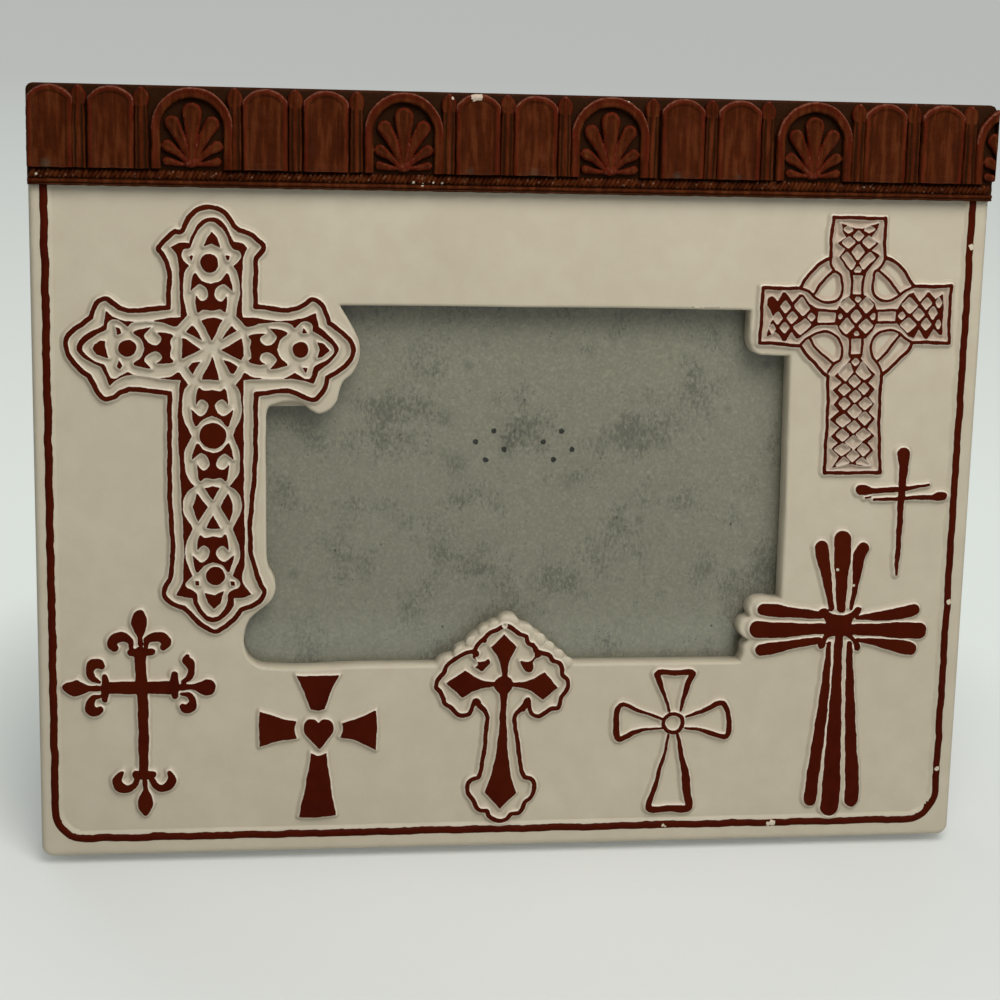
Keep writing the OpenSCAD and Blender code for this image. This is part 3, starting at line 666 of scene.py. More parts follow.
# The brush went this far over the cast edges.
BRUSH_OVER = 0.08
BUD_OUTLINE = read("""
-88.6 168.3,-87.6 170.4,-86 172.6,-84 174.2,-81.3 174.7,-78.5 173.9,-76.5 172.1,-75.2 170,
-74 168.8*,-72.5 168.4,-70.4 167.6,-69 166.3,-67.6 164.6,-68.3 163.1,-69.4 161.7,-69.6 159,
-69.7 149.2*,-59 148.9,-57.5 149.6,-54.8 151.2,-52.6 150,-51 146.5,-50.6 145*,-49 144,-46.5 142,
-44.2 138.5,-44.4 136.5,-46.5 133.8,-49.5 131.6,-51 130.8*,-51.8 127.5,-54.5 124.8,-57.5 125.8,
-59 126.6,-69.6 126.4*,-69.7 110,-69.5 78,-68.2 75,-67.3 73,-68.7 70.6,-71 69.1,-73.5 68.3*,
-75.8 65.3,-78.3 63.3,-80.6 62.3,-83 63.6,-85.4 65.4,-87.3 67.6,-88.6 69*,-91 69.7,-93.3 71.5,
-93.9 73,-93.5 74.5,-92.3 76.6,-92 78,-92.1 100,-91.9 126.4*,-104.5 126.6,-106.4 125.2,
-108.4 124.8,-109.8 126,-111.1 128.3,-112.5 130.8*,-115 132.8,-117.1 135.3,-118.1 137.9,
-118 140.4,-116.4 142.6,-113.9 144.2,-111.8 146*,-111.1 148.1,-109.8 150.1,-108.2 150.9,
-105.9 149.5,-104.5 148.6,-92.1 148.8*,-92.4 160.5,-93.3 162.3,-94.4 164,-93.6 165.3,-92 166.9,
-90.1 168.4*""")
BUD_FIELD = read("""
-81.5 171.9,-78.6 171.2,-77 169.3,-75.8 166.8,-75.2 165.8*,-72.4 165.2,-71.8 164.4*,-72.9 161.6,
-73.1 158,-73.1 147.6,-73 146.4*,-57.5 146.2,-54.2 147.7*,-53.3 144*,-51.5 142.6,-49.2 140.4,
-48 138.2,-49.3 136,-51.5 133.8,-53.4 132.4*,-54.5 129.2*,-57 129.9,-72.9 130.1*,-72.9 128,
-72.8 100,-72.8 80,-73.2 76,-70.9 72.5*,-73 71.7,-75.5 71.6*,-75.4 70,-76.7 67.8,-78.6 65.8,
-80.6 65,-82.8 65.6,-84.7 67.6,-85.9 70.2,-86.3 71.7*,-88 71.8,-90.6 72.3*,-89 75.6,-88.7 78,
-89.1 100,-89.2 128.5,-89 129.8*,-106 129.7,-107.3 128.4*,-108.4 131.3,-109.3 133.3*,
-111.8 134.5,-114.2 136,-115.3 137.7,-115 139.7,-112.9 141.8,-110.2 143.1,-108.6 144*,
-107.9 147.7*,-106 146.2,-89 146.2*,-88.9 148,-89.2 156,-89.4 161,-90.1 162.8,-91.4 164.2*,
-90 165,-88 165.4,-86.4 165.3*,-86.2 166.5,-85.3 168.6,-83.9 170.6""")
# From the top down its left side, out along the arm and back. The right arm is a little shorter,
# so the mirrored end draws in.
LACE_LEFT = read("""
-81.4 170.9,-83.3 169.8,-84.6 168.4,-85.9 165.2*,-86.5 164.2,-88.3 163.6,-88.7 162.3,-88 160.8,
-86.7 159.6*,-87.8 157.8,-88.3 155,-88.1 151,-87.6 148.5,-87.4 146.8*,-88.8 145.2,-90 143.9,
-91 144,-93 144.7,-96 145.2,-99 145.3,-101.5 144.6,-102.5 143.7*,-103.5 144.6,-105 145.5,
-106.4 145.6,-107.5 145,-107.9 142.9*,-109.7 142,-112 140.6,-113.8 138.9,-114 137.5,-112.8 136,
-110.8 134.7,-108.6 133.8,-107.4 131.2*,-107 130.5,-105.5 130.3,-104.3 131,-102.6 132*,
-101.5 131.3,-100 130.6,-97 130.3,-94 130.4,-91 131,-89.7 131.9,-88.5 130.4,-87.1 128.8*,
-88.1 127.4,-88.7 124.5,-88.8 122,-88.3 119.5,-87.2 117,-86.4 115.2*,-87.4 113,-88.2 111,
-88.3 108,-87.8 105,-86.6 103,-85.6 101.8*,-87 100.9,-88.2 99.3,-88.7 96.5,-88.3 94,-87.6 92.8,
-86.6 91,-86.3 90.2*,-87 88.7,-87.9 86.5,-88.3 84,-87.8 81.3,-86.9 79.2,-86.3 77.6*,-87.8 76.3,
-88.3 75.3,-87.8 74.3,-86.7 73.8,-85.4 72.9,-84.9 70.6,-83.9 68.4,-82.3 66.6,-80.6 66.2""")
LACE = LACE_LEFT + [
    (2 * BUD_AXIS - u - 0.1 * max(0, 2 * BUD_AXIS - u + 60), v) for u, v in LACE_LEFT[::-1]]
HOOKS = read("""
0 3.9,2.5 4.9,4.1 6.7,5 4.5,5.4 2.2*,4.2 3.3,3.1 4,1.8 3.4,.9 2,.8 .9,1.6 -.2,2.7 -.5,3.4 0,
4 1*,4 -1,3.2 -3.4,2.6 -2.8,0 -2.9""")
HOOKS = HOOKS + [(-x, y) for x, y in HOOKS[::-1]]
HOOK_SPOTS = read("""
-81 151 0,-81 124.4 180,-80.8 106.6 0,-80.9 85.3 180,-94.3 138.2 90,-68.1 138.2 -90""")
BUD_DISCS = read("-81.5 160.3 2.3, -80.8 115.2 3.4, -80.3 77.6 2.4, -102.6 138.1 2.2, -58 138 2")
BUD_ISLANDS = read_all("""
-83.6 145.4,-82 146,-80 146.1,-78.2 145.7,-81 140.3; -88.6 140.8,-87.8 140.6,-83.8 138,
-88.6 135.6; -78.4 137.8,-73.2 140.9,-72.8 138.6,-72.9 136.3,-73.5 135.2; -80.8 136,-83.6 130.2,
-79.1 129.9; -87 133.1,-86 134.3,-83.9 134.7,-86 131.5; -77.9 135.3,-76.5 134.9,-74.2 133.4,
-75.4 131.6,-76.2 131.7; -87.5 142.5,-86.1 144.2,-85.3 143.5,-83.3 140.3; -75.9 144.2,-74.6 142.8,
-78.3 140.7; -80.8 168.3,-79.5 167,-78.8 164.3,-81 165.4,-82.9 164.7,-82 167; -83.2 73,-80.5 72.3,
-78 73.4,-79 70.3,-80.7 68.6,-82.3 70.3; -108.2 139.8,-109.5 139.9,-111 139,-111.5 137.9,
-110.4 136.5,-109 136,-107.5 135.6,-108 137,-108.3 138.5; -53.6 140,-52 139.8,-50.4 137.9,
-52.5 136.2,-53.5 135.9,-53 138; -86.6 162,-85.7 162.4,-86.2 160.8; -77.4 162.4,-76.3 162.3,
-76.8 161; -85.6 76.1,-84.7 76.2,-84.6 74.9,-85.6 75; -76.4 76.1,-75.4 75.9,-75.3 74.9,-76.2 74.9;
-105.5 143.5,-104.6 143.1,-104.2 142,-105.2 141.6; -104.8 134.9,-104.1 133.6,-104.6 132.8,
-105.3 133.2; -57.2 143.8,-56.3 142.5,-57.7 142.5; -57.5 133.4,-56.3 133.2,-56.6 131.8; -82.9 101.2,
-81 101.7,-79.2 101.5,-80.8 98.2; -85 99.9,-82.3 96.2,-84.7 92.2,-86.1 96.3; -77 99.8,-78.8 96.2,
-76.6 92.3,-75.7 95,-75.7 96.9; -80.9 93.9,-82.6 90.6,-78.9 90.4""")


def turned(points, u, v, degrees):
    c, s = math.cos(math.radians(degrees)), math.sin(math.radians(degrees))
    return [(u + x * c - y * s, v + x * s + y * c) for x, y in points]


def budded_cross():
    islands = [area(turned(HOOKS, *spot)) for spot in HOOK_SPOTS]
    islands += [disc(*one) for one in BUD_DISCS]
    islands += [area(points, soft=False) for points in BUD_ISLANDS]
    field = cut(area(BUD_FIELD), area(LACE))
    drawn = join(line(BUD_OUTLINE, 1.15, closed=True), field, *islands)
    return lambda x, y: drawn(x, y) - BRUSH_OVER


cast_relief("cross_budded", budded_cross(), (-121, 59), (-41, 178), seed=21)

# %% [markdown]
# The wheel cross at the upper right is a lattice: painted straps under a millimetre wide, with cream
# cells between them. The lattice is drawn as whole areas, and its cells are cut out as rounded
# diamonds. That is quicker than drawing every strap, and the straps come out as even as on the cast.

# %% Draw the wheel cross
WHEEL_OUTLINE = read("""
83.6 163.9*,83.5 169,83.9 174.7*,91 174.6,98.4 174.6*,98.3 169.5,98.75 164.1*,101 163.4,
103 161.9,104.75 160,106 158,107.25 156.5*,112 156.5,117.8 156.8*,117.7 149,118.1 141.2*,
112 141.3,107.6 141.2*,106.75 139,105 137.4,103.2 135.6,101.6 133.8,99.5 132.1*,99.5 125,
99.7 118,100.2 112,100.7 105.3*,93 105.3,85 105.2*,84.9 110,85 120,84.9 125,84.5 132*,
83.5 132.6,81.8 134.1,80 136.1,78.5 137.4,76.4 140*,71 140.6,65.1 140.8*,65.3 148,
65.3 155.6*,70 155.6,75.6 155.6*,76.5 157.25,78 159.5,79.75 161.5,81.75 163""")
WHEEL_STRAPS = read_all("""
75.6 155.5,78 154.8,79.75 153.25,81.5 152.15,83.5 151.85,85.5 152.25,86.9 153.5,87.25 155.5,
87.1 157.5,86.5 159.5,84.75 160.25,83.5 159.4,81.5 157.25,79.6 154.2; 83.6 163.8,83.9 161.8,
84.9 160.3; 98.7 164,97.9 162,97 160.9,96.2 160.3,95.8 158.5,95.6 156.5,96 154.5,97.25 153.25,
99.25 152.5,101.5 152.9,103.25 154,105 155.25,107.2 156.4; 97 160.9,99 159.25,101 157.25,
103.4 154.4; 76.4 140.3,77.5 141.5,79.5 142.9,81 143.6,83 144,85 143.6,86.75 142.5,87.75 140.5,
88.1 138,87.7 136.4,86 135.3,84.5 133.2; 79 142.2,80.2 140.2,82.1 138.4,84.3 136.6,86 135.3;
99.5 133,98.6 135.2,97 137,96.2 139,96.2 141.2,97.2 143.1,99.2 144.3,101.4 144.6,103.6 143.9,
105.4 142.6,107.5 141.3; 98.2 136,100 138,102 140.4,104 143.2; 80.5 149.85,87 149.6; 80.5 146.1,
87 146.1; 80.6 150,80.6 146; 86.1 149.6,86.1 146.1; 97 149.75,103 150; 97.5 146.6,103 146.85;
97.2 149.7,97.2 146.6; 103 150,103 146.8; 89.3 160.2,89.7 159,90 157,89.7 153.8; 93.4 160.2,
93.1 159,92.85 157,93.1 153.8; 89.8 159.6,93 159.6; 89.9 153.9,93 153.9; 90.1 142.6,90.4 140,
90.3 137.6,91 136.9; 93.6 142.6,93.7 140,93.5 137.6,93 136.9; 90.2 142.5,93.6 142.5; 90.3 137.7,
93.5 137.7""")
WHEEL_LATTICES = read_all("""
86.2 131.9,90.1 136,90.9 137.2,93.1 137.2,94 136.2,97.8 132.4,96.1 130.2,98.1 128.4,96.3 126.4,
98 124.5,96.6 122.1,98.5 120.4,96.4 117.7,98.6 115.5,96.8 113.6,98.6 111.6,96.4 109.5,
97.9 107.1,95.4 107.2,92.9 107.7,90.4 107.4,88.8 106.9,86.9 106.6,88.9 109.8,86.7 112,
88.2 113.6,86.1 115.4,88.5 117.9,85.7 120,88.1 122.2,86.4 124.1,88 126.2,86.1 128.1,88.4 130.2;
86.1 173.1,88 172.5,90 171.9,92 171.9,94.5 172.8,96.6 173.3,96 171.5,94.75 169.5,96.85 167.9,
94.9 166.1,97.25 164.6,95 161.5,93.4 159.8,89.3 159.8,87.75 161.5,85.8 164,87.5 166.2,
85.4 167.9,87.5 169.5,86.4 171; 66.75 153.1,68 153.4,69.5 152,71 154.6,71.75 154.5,73.75 151.85,
75.5 153.9,76.5 154,78.5 151.5,80.9 150,80.9 146,78.5 144.2,76.25 142.4,75.25 142,73.85 143.9,
72.25 141.4,71.25 141.4,70.25 143,69.25 143.75,67 142.5,67 143.75,67.9 146.5,68.65 147.5,68 149,
66.75 151; 102.8 150,104 152.2,106 154.4,107.25 154.8,109.25 152.4,111 155,111.75 155,
113.4 153.1,115.6 154.6,116 149,116 143.4,115 143.4,113.5 145,111.9 142.1,111.15 142.25,
109.4 144.9,108 142.5,106.5 142.9,104.5 144.8,102.8 146.8; 86.2 149.9,87.3 152.5,88.5 153.5,
90 154.1,93 154.1,94.5 153.6,96.5 152,97.4 149.75,97.4 146.6,96.5 144.4,94.5 142.3,89.5 142.3,
87.8 143.3,86.7 145,86.2 146""")
# Middle, half width and half height of each diamond.
WHEEL_CELLS = read("""
92 135.8 .95 1,92.1 130.6 1.6 1.6,89.4 128.3 1.5 1.5,94.8 128.5 1.4 1.5,92.5 126.4 1.5 1.6,
89.6 124.4 1.6 1.6,95.5 124.5 1.75 1.6,92.6 122.3 1.95 1.8,89.5 119.8 1.9 1.7,95.5 120.4 1.8 1.7,
92.5 118 1.65 1.6,89.5 115.7 1.75 1.6,95.4 116 1.9 1.6,92.8 113.8 2.35 1.8,89.7 111.8 2.1 1.6,
95.7 111.7 1.7 1.6,92.8 110 1.6 1.5,88.05 171.5 1.2 .8,94 171.6 1.3 .8,91 169.85 1.4 1.3,
88.35 168.1 1.65 1.5,94 168.2 1.75 1.5,91.15 165.5 1.5 1.9,91.25 160.6 .9 .9,71.75 150.6 1.2 1.5,
69.85 147.6 1.2 1.5,73.75 147.75 1.3 1.6,79.15 147.9 1 .9,71.85 145 1.2 1.4,68.4 144.7 .6 1.2,
111.15 151.9 1.2 1.6,109 148.9 1.6 1.6,113.1 149.4 1 1.6,104.35 148.6 .8 .95,111.25 146.35 1.25 1.5,
114.5 152.1 .7 1.2,114.75 146.25 .6 1.2,106.4 151.35 2.2 2,106.25 146 2.1 1.9,89 151.3 1.9 2,
94.25 151.3 1.9 2,91.6 148.3 1.4 1.6,89 145.6 1.9 2,94.4 145.6 1.9 1.9,91.75 152.8 .7 .8,
96.3 148.2 .7 .9,91.85 143.4 .5 .7,87.1 148.1 .5 .6""")
WHEEL_LONG_CELLS = read_all("""
87.5 132.6,90.3 135.4,91.4 133.2,89.4 130.8; 93.9 135.6,92.5 133.2,95 131.2,96.3 132.3;
86.75 164.25,88 165.25,90.4 162.5,89.5 161; 91.9 162.5,94.5 165.5,95.75 164,92.75 161; 74.4 151,
76.15 153.1,78.4 150,76.75 148.25; 74.4 145,77.5 147.15,78.9 146,76.25 143.4; 88.1 107.2,
90.4 109.4,91.8 108.2; 94 108.2,95.4 109.4,97.6 107.4""")


def rounded(points, inset=0.32, grown=0.46):
    """A polygon drawn a little smaller and grown back round, so that its corners are soft."""
    middle = np.mean(points, axis=0)
    reach = np.hypot(*(np.array(points) - middle).T).max()
    shape = area([tuple(middle + (np.array(p) - middle) * (1 - inset / reach)) for p in points], soft=False)
    return lambda x, y: shape(x, y) - grown


def diamond(u, v, half_w, half_h):
    return rounded([(u - half_w, v), (u, v + half_h), (u + half_w, v), (u, v - half_h)])


def wheel_cross():
    cells = [diamond(*cell) for cell in WHEEL_CELLS] + [rounded(p) for p in WHEEL_LONG_CELLS]
    lattice = cut(join(*[area(p, soft=False) for p in WHEEL_LATTICES]), *cells)
    straps = [line(points, 0.78) for points in WHEEL_STRAPS]
    blot_shape = area(read("66.8 153, 67.8 153.5, 69.5 152, 70.3 150, 68.5 149.2, 67.5 150, 66.8 151.5"))
    return join(line(WHEEL_OUTLINE, 1.0, closed=True), *straps, lattice, blot_shape)


cast_relief("cross_wheel", wheel_cross(), (62, 102), (121, 178), seed=22, washed=area(WHEEL_OUTLINE))

# %% [markdown]
# The nail cross is four square nails laid together: strokes that taper from head to point. The fan
# cross has three fingers to each arm with cream grooves between. Both are strokes whose width changes
# along them, so each point of a stroke carries its own half width.

# %% Draw the nail cross and the fan cross
NAILS = read_all("""
107.2 110.3 1.95,107.3 108.2 1.5,107.4 106 1.25,107.3 102 1.1,107.2 96 .95,107.2 87 .8,
107.1 79.5 .65,107.1 76.5 .4;
95.4 100.5 1.4,96.6 100.5 1.35,98.6 100.3 .95,103 100.4 .8,108 100.8 .7,111.5 101.4 .5,
114.8 101.8 .4;
119 98.7 1.3,118.2 98.7 1.35,116.8 98.5 .9,112 98.3 .65,105 98 .5,99.4 97.7 .4;
96.9 98.3 .3,98.4 98.6 .3""")
FINGERS = read_all("""
91.2 86.7 2.4,91.3 85 2.5,91.5 74.6 1.75,91.8 67 1.3;
85.3 84.4 1.85,85.4 83.8 1.9,87.5 74.6 1.25,89 67 .8;
97.2 84.1 1.7,97 83.8 1.75,95.7 74.6 1,94.7 67 .55;
68.3 61.3 2.4,70.5 61.1 2.4,79.4 61.1 1.9,87 61.3 1.5;
69.5 66.9 1.7,71 66.8 1.8,79.4 65.8 1.4,86 65.2 1.1;
69.5 55.4 1.6,71 55.6 1.7,79.4 57 1.25,86 58 .95;
114.5 60.4 2.4,112 60.5 2.4,102.5 60.8 1.9,95 61 1.5;
112.7 66.4 1.7,111.7 66.1 1.8,102.5 64.7 1.25,96.5 64.3 .6;
112.6 55.2 1.75,111.7 55.4 1.9,102.5 57.2 1.1,97 58 .6;
85.8 11.5 1.85,85.85 13 1.85,87.2 28.5 1.7,88.4 43.8 1.3,88.9 57 .65;
91.5 9.2 2.6,91.7 12 2.7,91.7 20.8 2.45,91.7 36.2 1.9,91.6 51.5 1.3,91.6 60 1.2;
97.8 11.2 2,97.85 13 2.05,96.7 28.5 1.7,95.6 43.8 1.3,94.7 57 .8""")
FAN_HUB = read("""
86 66.9,87.6 67.2,88.6 66,95 66,96.4 67.4,97.7 67.2,97.4 65.6,95.6 64.2,95.4 59.4,96.8 58,
98 56,97.6 54.8,96.4 54.9,95.8 57.2,94.6 58.4,88.4 58.4,87.4 55.6,86.2 55.5,85.7 57,
86.9 58.8,87.2 64,85.2 65.6""")


def strokes(drawings):
    return join(*[line(points) for points in drawings])


cast_relief("cross_nails", strokes(NAILS), (92, 73), (122, 115), seed=23)
cast_relief("cross_fan", join(strokes(FINGERS), area(FAN_HUB)), (62, 4), (120, 91), seed=24)

# %% [markdown]
# The smaller crosses at the bottom: one with lily ends, one with flared arms and a heart, one with
# a scalloped edge round a plain cross, and one drawn in a single line with a ring at its middle.

# %% Draw the lily cross
LILY_STROKES = read_all("""
-100.2 57 1.5,-100.1 50 1.55,-99.7 44 1.5,-99.6 38 1.4,-99.6 30 1.4,-99.7 24 1.2;
-109 47.2 1.7,-100 47.1 1.75,-91.5 47 1.8;
-102.6 58.2 .6,-102.9 60 .9,-104.6 61.2 1.3,-106.8 60.6 1.4,-107.5 59 1.3,-106.9 58.2 1.1;
-98.7 58.4 .6,-98.3 60.2 .9,-96.6 61 1.2,-94.2 60.8 1.4,-93.4 59.2 1.3,-94 58.2 1;
-111.2 48.9 .5,-113 50 .95,-113.5 52 1.1,-112.6 53.7 1.5,-111.2 53.9 1.4,-110.4 53.2 1;
-110.6 44.9 .5,-112.7 44.4 .9,-113.6 42.8 1.2,-113.2 41 1.45,-112 40.6 1.2,-111 41.2 .9;
-89 48.7 .6,-87.3 50 .9,-86.7 52 .95,-87.4 53.9 1.3,-88.1 54.6 1.1,-87.9 55.7 .6;
-89.4 45.2 .5,-87.2 44.7 .8,-86.5 43.2 1.05,-87 41.6 1.4,-88.3 41.1 1.2,-89.3 41.7 .8;
-101.5 21.4 .8,-102.2 20 .9,-104 18.9 1.1,-106 19.6 1.4,-106.8 21.2 1.2,-105.9 22.9 .8,
-105.2 23.6 .4;
-97.4 21.3 .8,-96.6 19.8 .9,-94.8 18.9 1,-92.9 19.8 1.3,-92.2 21.6 1.15,-92.8 23.1 .7;
-102.6 56.8 1,-100.2 56.9 1.05,-97.2 57 1; -109.6 50.2 .8,-109.4 47.2 1.2,-109.6 43.9 .8;
-91.3 50.6 .9,-91.3 47.2 1.3,-91.2 44.7 .9; -101.6 22.9 1.1,-99.5 22.7 1.3,-97.4 22.8 1.1""")
LILY_BULBS = read_all("""
-100.2 68.5,-101.6 67.8,-102.4 66.3,-102.5 64.8,-101.8 63,-100.9 61,-100.6 58.5,-99.6 58.5,
-99.5 60.6,-98.8 62.8,-98.4 65,-98.7 67.2,-99.4 68.3;
-120.9 47.9,-119.8 48.8,-118 49.2,-116.8 49.6,-115.8 48.9,-114 48,-110.5 47.5,-110.3 46.9,
-114 46.2,-115.8 45.4,-117.6 44.9,-119.4 45.7,-120.5 46.9;
-80.3 47.4,-80.9 48.7,-82.5 49.1,-84.3 48.6,-86 48,-90 47.8,-90 46.6,-86 46.2,-84.4 45.2,
-82.6 44.7,-81 45.4,-80.4 46.4;
-99.3 11,-100.6 12.4,-101.3 14.4,-100.9 16.4,-100 18.6,-99.7 21.5,-98.9 21.5,-98.6 18.8,
-97.6 16.6,-97.2 14.6,-97.9 12.5""")
lily = join(strokes(LILY_STROKES), *[area(points) for points in LILY_BULBS])
cast_relief("cross_lily", lily, (-124, 7), (-76, 72), seed=25)

# %% Draw the heart cross
HEART_AREAS = read_all("""
-58.9 49.9*,-53 49.7,-47.2 49.9*,-49.6 45,-51 40.3*,-53 39.9,-55 40.2*,-56.6 45;
-68.6 40*,-68.9 35,-68.6 29.9*,-63.5 31.5,-58.5 32.2*,-59.3 34.5,-58.7 37*,-63.5 38.2;
-37.1 40*,-36.9 34,-37.1 28.3*,-42 31,-47 32.3*,-46.3 34.3,-46.4 36.3*,-42 37.8;
-54.7 28.2*,-52.7 27.3,-50.6 28*,-49.4 19,-47.9 10*,-53 9.6,-58.1 9.8*,-56.2 19;
-52.8 36.6*,-53.8 37.5,-55.4 37.5,-56.7 36,-56.7 34,-55 31.5,-52.5 29*,-50.2 31.8,
-48.8 34,-48.9 36,-50.1 37.4,-51.8 37.5""")
heart = join(*[area(points) for points in HEART_AREAS])
cast_relief("cross_heart", heart, (-73, 6), (-33, 54), seed=26)

# %% Draw the scalloped cross
SCALLOPS = read("""
-2.4 63,-4 62.1,-5.3 61.6,-7.1 60.6,-7.9 59.6,-9 58.6,-10.1 57.1,-10.6 56.1,-11.8 55.8,
-13.7 55.2,-15.3 54.1,-17.1 53,-18.4 51.6,-18.7 50.2,-19.8 48.9,-20.8 47.4,-20.9 46.1,
-19.8 44.8,-19 43,-18.4 41.4,-16.8 40.4,-15.9 39.6,-14.9 38.3,-13.4 37.8,-11.8 38.3,
-11.1 39.6,-10.6 41.1,-9.9 41.9 .9,-8.7 40.5 .8,-7.4 39.3 .7,-6.8 38,-6.8 35.5,-7.1 30.5,
-7.6 25.5,-8.4 21.4,-8.8 20.2,-10.6 19.6,-11.7 18.3,-11.9 16.8,-11.2 14.9,-9.9 13.3,
-9.3 11.8,-8.1 10.6,-6.2 10.2,-5.6 8.9,-4 7.9,-2.3 7.4,-.6 8,.5 9.3,2.9 9.6,3.7 10.8,
4.3 12.7,6 14.1,6.8 16.1,6.8 18,5.7 19.4,4.1 19.9,3.3 21.4,2.6 25.5,1.8 30.5,1.1 34.9,
1.1 38,2.3 39.3 .7,3.8 40.5 .9,4.4 42 .8,5.1 39.6,5.7 38,7.3 37.3,9.1 38,10.7 39.3,
12.9 39.8,13.5 41.1,13.8 42.7,14.9 44.3,15.5 45.8,15.3 47.7,13.8 49.3,13.8 50.8,
12.9 52.4,11 53.3,10.1 54.6,8.2 55.2,6.6 55.8 .8,6 57.1,4.1 58.3,3.5 59.9,1.6 60.8,
.4 61.8,-.9 62.7""")
SCALLOPED_AREAS = read_all("""
-10.9 55.2,-10.2 54,-9.6 53.2,-8.6 53.2,-7.6 53.3,-6.8 53.9,-6.2 52.5,-7.2 51.5,-8.4 50.2,
-9.4 50.9,-10.3 51.5,-9.6 52.2,-9.9 53.3,-11.2 54.6;
7 55.4,6 54.2,5.2 53.2,4.2 52.8,2 53.2,2.7 51.5,3.9 50,5.3 50.1,5.7 51.6,5.6 52.6,
6.6 53.8,7.6 54.9;
-2.4 60.8*,-6.1 57.2*,-4 54,-3 50,-2.6 46.5,-1.9 46.5,-1.3 50,-.6 54,1.1 57*;
-18.2 47.2*,-13 50.8*,-9.6 48.4,-5.6 47.4,-2 47,-2 46.3,-5.6 45.9,-9.6 45.2,-13.7 42.9*;
12.7 45.5*,8.8 50*,5 47.8,1 47.1,-2 47,-2 46.3,1 45.9,5 44.6,8.7 42*;
-2.7 10.8*,-6.9 15.8*,-5 22,-3.6 31,-3.1 40,-2.5 46,-1.9 46,-1.5 40,-1 31,0 22,1.8 15.3*""")
edge_line = cut(line(SCALLOPS, 1.25, closed=True), disc(-2.4, 63.1, 0.75))
# Where two scallops meet, the paint ran together into a small blob.
PAINT_BLOBS = read("-10.2 55.4 .95, 7 54.8 1, 5.4 57.8 .6, -7.8 58.8 .6, -9.9 41.4 .9, 3.2 39.6 .8")
scalloped = join(edge_line, disc(-2.4, 46.4, 2.6), *[disc(*blob) for blob in PAINT_BLOBS],
                 *[area(points) for points in SCALLOPED_AREAS])
cast_relief("cross_scalloped", scalloped, (-24, 4), (19, 67), seed=27)

# %% Draw the ring cross
RING_ARMS = read_all("""
44.1 38.4 .45,42.6 43 .55,41.2 46.6 .8,40.4 48.9 .9,45.5 49.1 .75,50.4 49 .9,49.2 46 .9,
48.2 42 .65,47.4 38.4 .45;
42.3 36 .4,36 38.3 .5,30.3 40.1 .7,29.3 35.3 .9,30.3 30.3 .8,34 32 .7,37.3 33 .45,
42.1 33.3 .35;
48.9 36.4 .35,53.5 38 .6,59.4 40.3 .8,61.2 35.5 .75,60.8 30.6 .8,57 31.4 .7,52 32.9 .5,
48.9 33.3 .35;
44.1 31.2 .4,43.6 27 .45,42.5 23 .55,40.6 15 .75,39.3 10.2 .9,45 9.9 1,50.7 10.2 1.1,
50.2 14 1.2,49.4 20 1.1,48 26 .7,46.8 31.4 .5""")
ring = join(cut(disc(45.4, 34.7, 3.3), disc(45.4, 34.7, 2.15)), strokes(RING_ARMS))
cast_relief("cross_ring", ring, (25, 5), (65, 53), seed=28)

# %% [markdown]
# The cast body. Its flat field needs no small triangles, so only the two curved bands get a fine
# grid: the rounded lip of the window and the rim outside the border line. The flat between them is
# one filled face set, and the walls, the rebate for the glass and board, and the back are added below.

# %% Body of the casting
# The seam with the field runs between two rows of the grid, so that it isn't ragged.
LIP_ZONE, RIM_ZONE = LIP_R + 0.1, 2.25
LIP_CELL, RIM_CELL, RIM_DEEP = 0.42, 0.62, 9.0
ON_EDGE = 0.01
REBATE_CLEAR = 0.6
BACK_CHAMFER, LEAD_IN = 0.5, 0.3
REBATE_LEFT = board_low.x * 1000 - REBATE_CLEAR
REBATE_RIGHT = board_high.x * 1000 + REBATE_CLEAR
board_height = ((board_high.z - board_low.z) * 1000 - BOARD_T * sin_lean) / cos_lean
REBATE_LOW = BOARD_V - board_height / 2 - REBATE_CLEAR
REBATE_HIGH = BOARD_V + board_height / 2 + REBATE_CLEAR


def rim_zone(x, y):
    return np.minimum(from_border(x, y), from_outline(x, y) + 1.0)


def band_columns(cell, low, high, zone, near_edge, far_edge):
    """Grid columns of a band, cut exactly at both of its edges."""
    points, triangles = grid(low, high, cell)
    gap = zone(points[:, 0], points[:, 1])
    corners = gap[triangles]
    triangles = triangles[(corners.max(axis=1) > near_edge) & (corners.min(axis=1) < far_edge)]
    columns = np.stack([points[:, 0], points[:, 1], gap], 1)
    columns, triangles = slice_at(columns, triangles, 2, near_edge, cell * 0.15)
    columns, triangles = slice_at(columns, triangles, 2, far_edge, cell * 0.15)
    middle = columns[triangles][:, :, 2].mean(axis=1)
    triangles = triangles[(middle > near_edge) & (middle < far_edge)]
    return drop_unused(columns, triangles)


def add_band(bm, columns, triangles, heights):
    verts = [bm.verts.new((x, y, z)) for (x, y), z in zip(columns[:, :2], heights)]
    for a, b, c in triangles:
        # A flat face stays flat-shaded, so that a thin one in the seam throws no shadow.
        level = max(heights[a], heights[b], heights[c]) - min(heights[a], heights[b], heights[c])
        bm.faces.new((verts[a], verts[b], verts[c])).smooth = bool(level > 1e-5)
    return verts


def wall_down(bm, verts, loop, depth, shift=None, smooth_wall=False):
    """A wall from each open edge down to a depth. Returns the new edges and their end vertices."""
    lower = {}
    for i in np.unique(loop):
        x, y, _ = verts[i].co
        if shift is not None:
            x, y = shift(x, y)
        lower[i] = bm.verts.new((x, y, depth))
    edges = []
    for a, b in loop:
        face = bm.faces.new((verts[b], verts[a], lower[a], lower[b]))
        face.smooth = smooth_wall
        edges.append(bm.edges.get((lower[a], lower[b])))
    return edges, lower


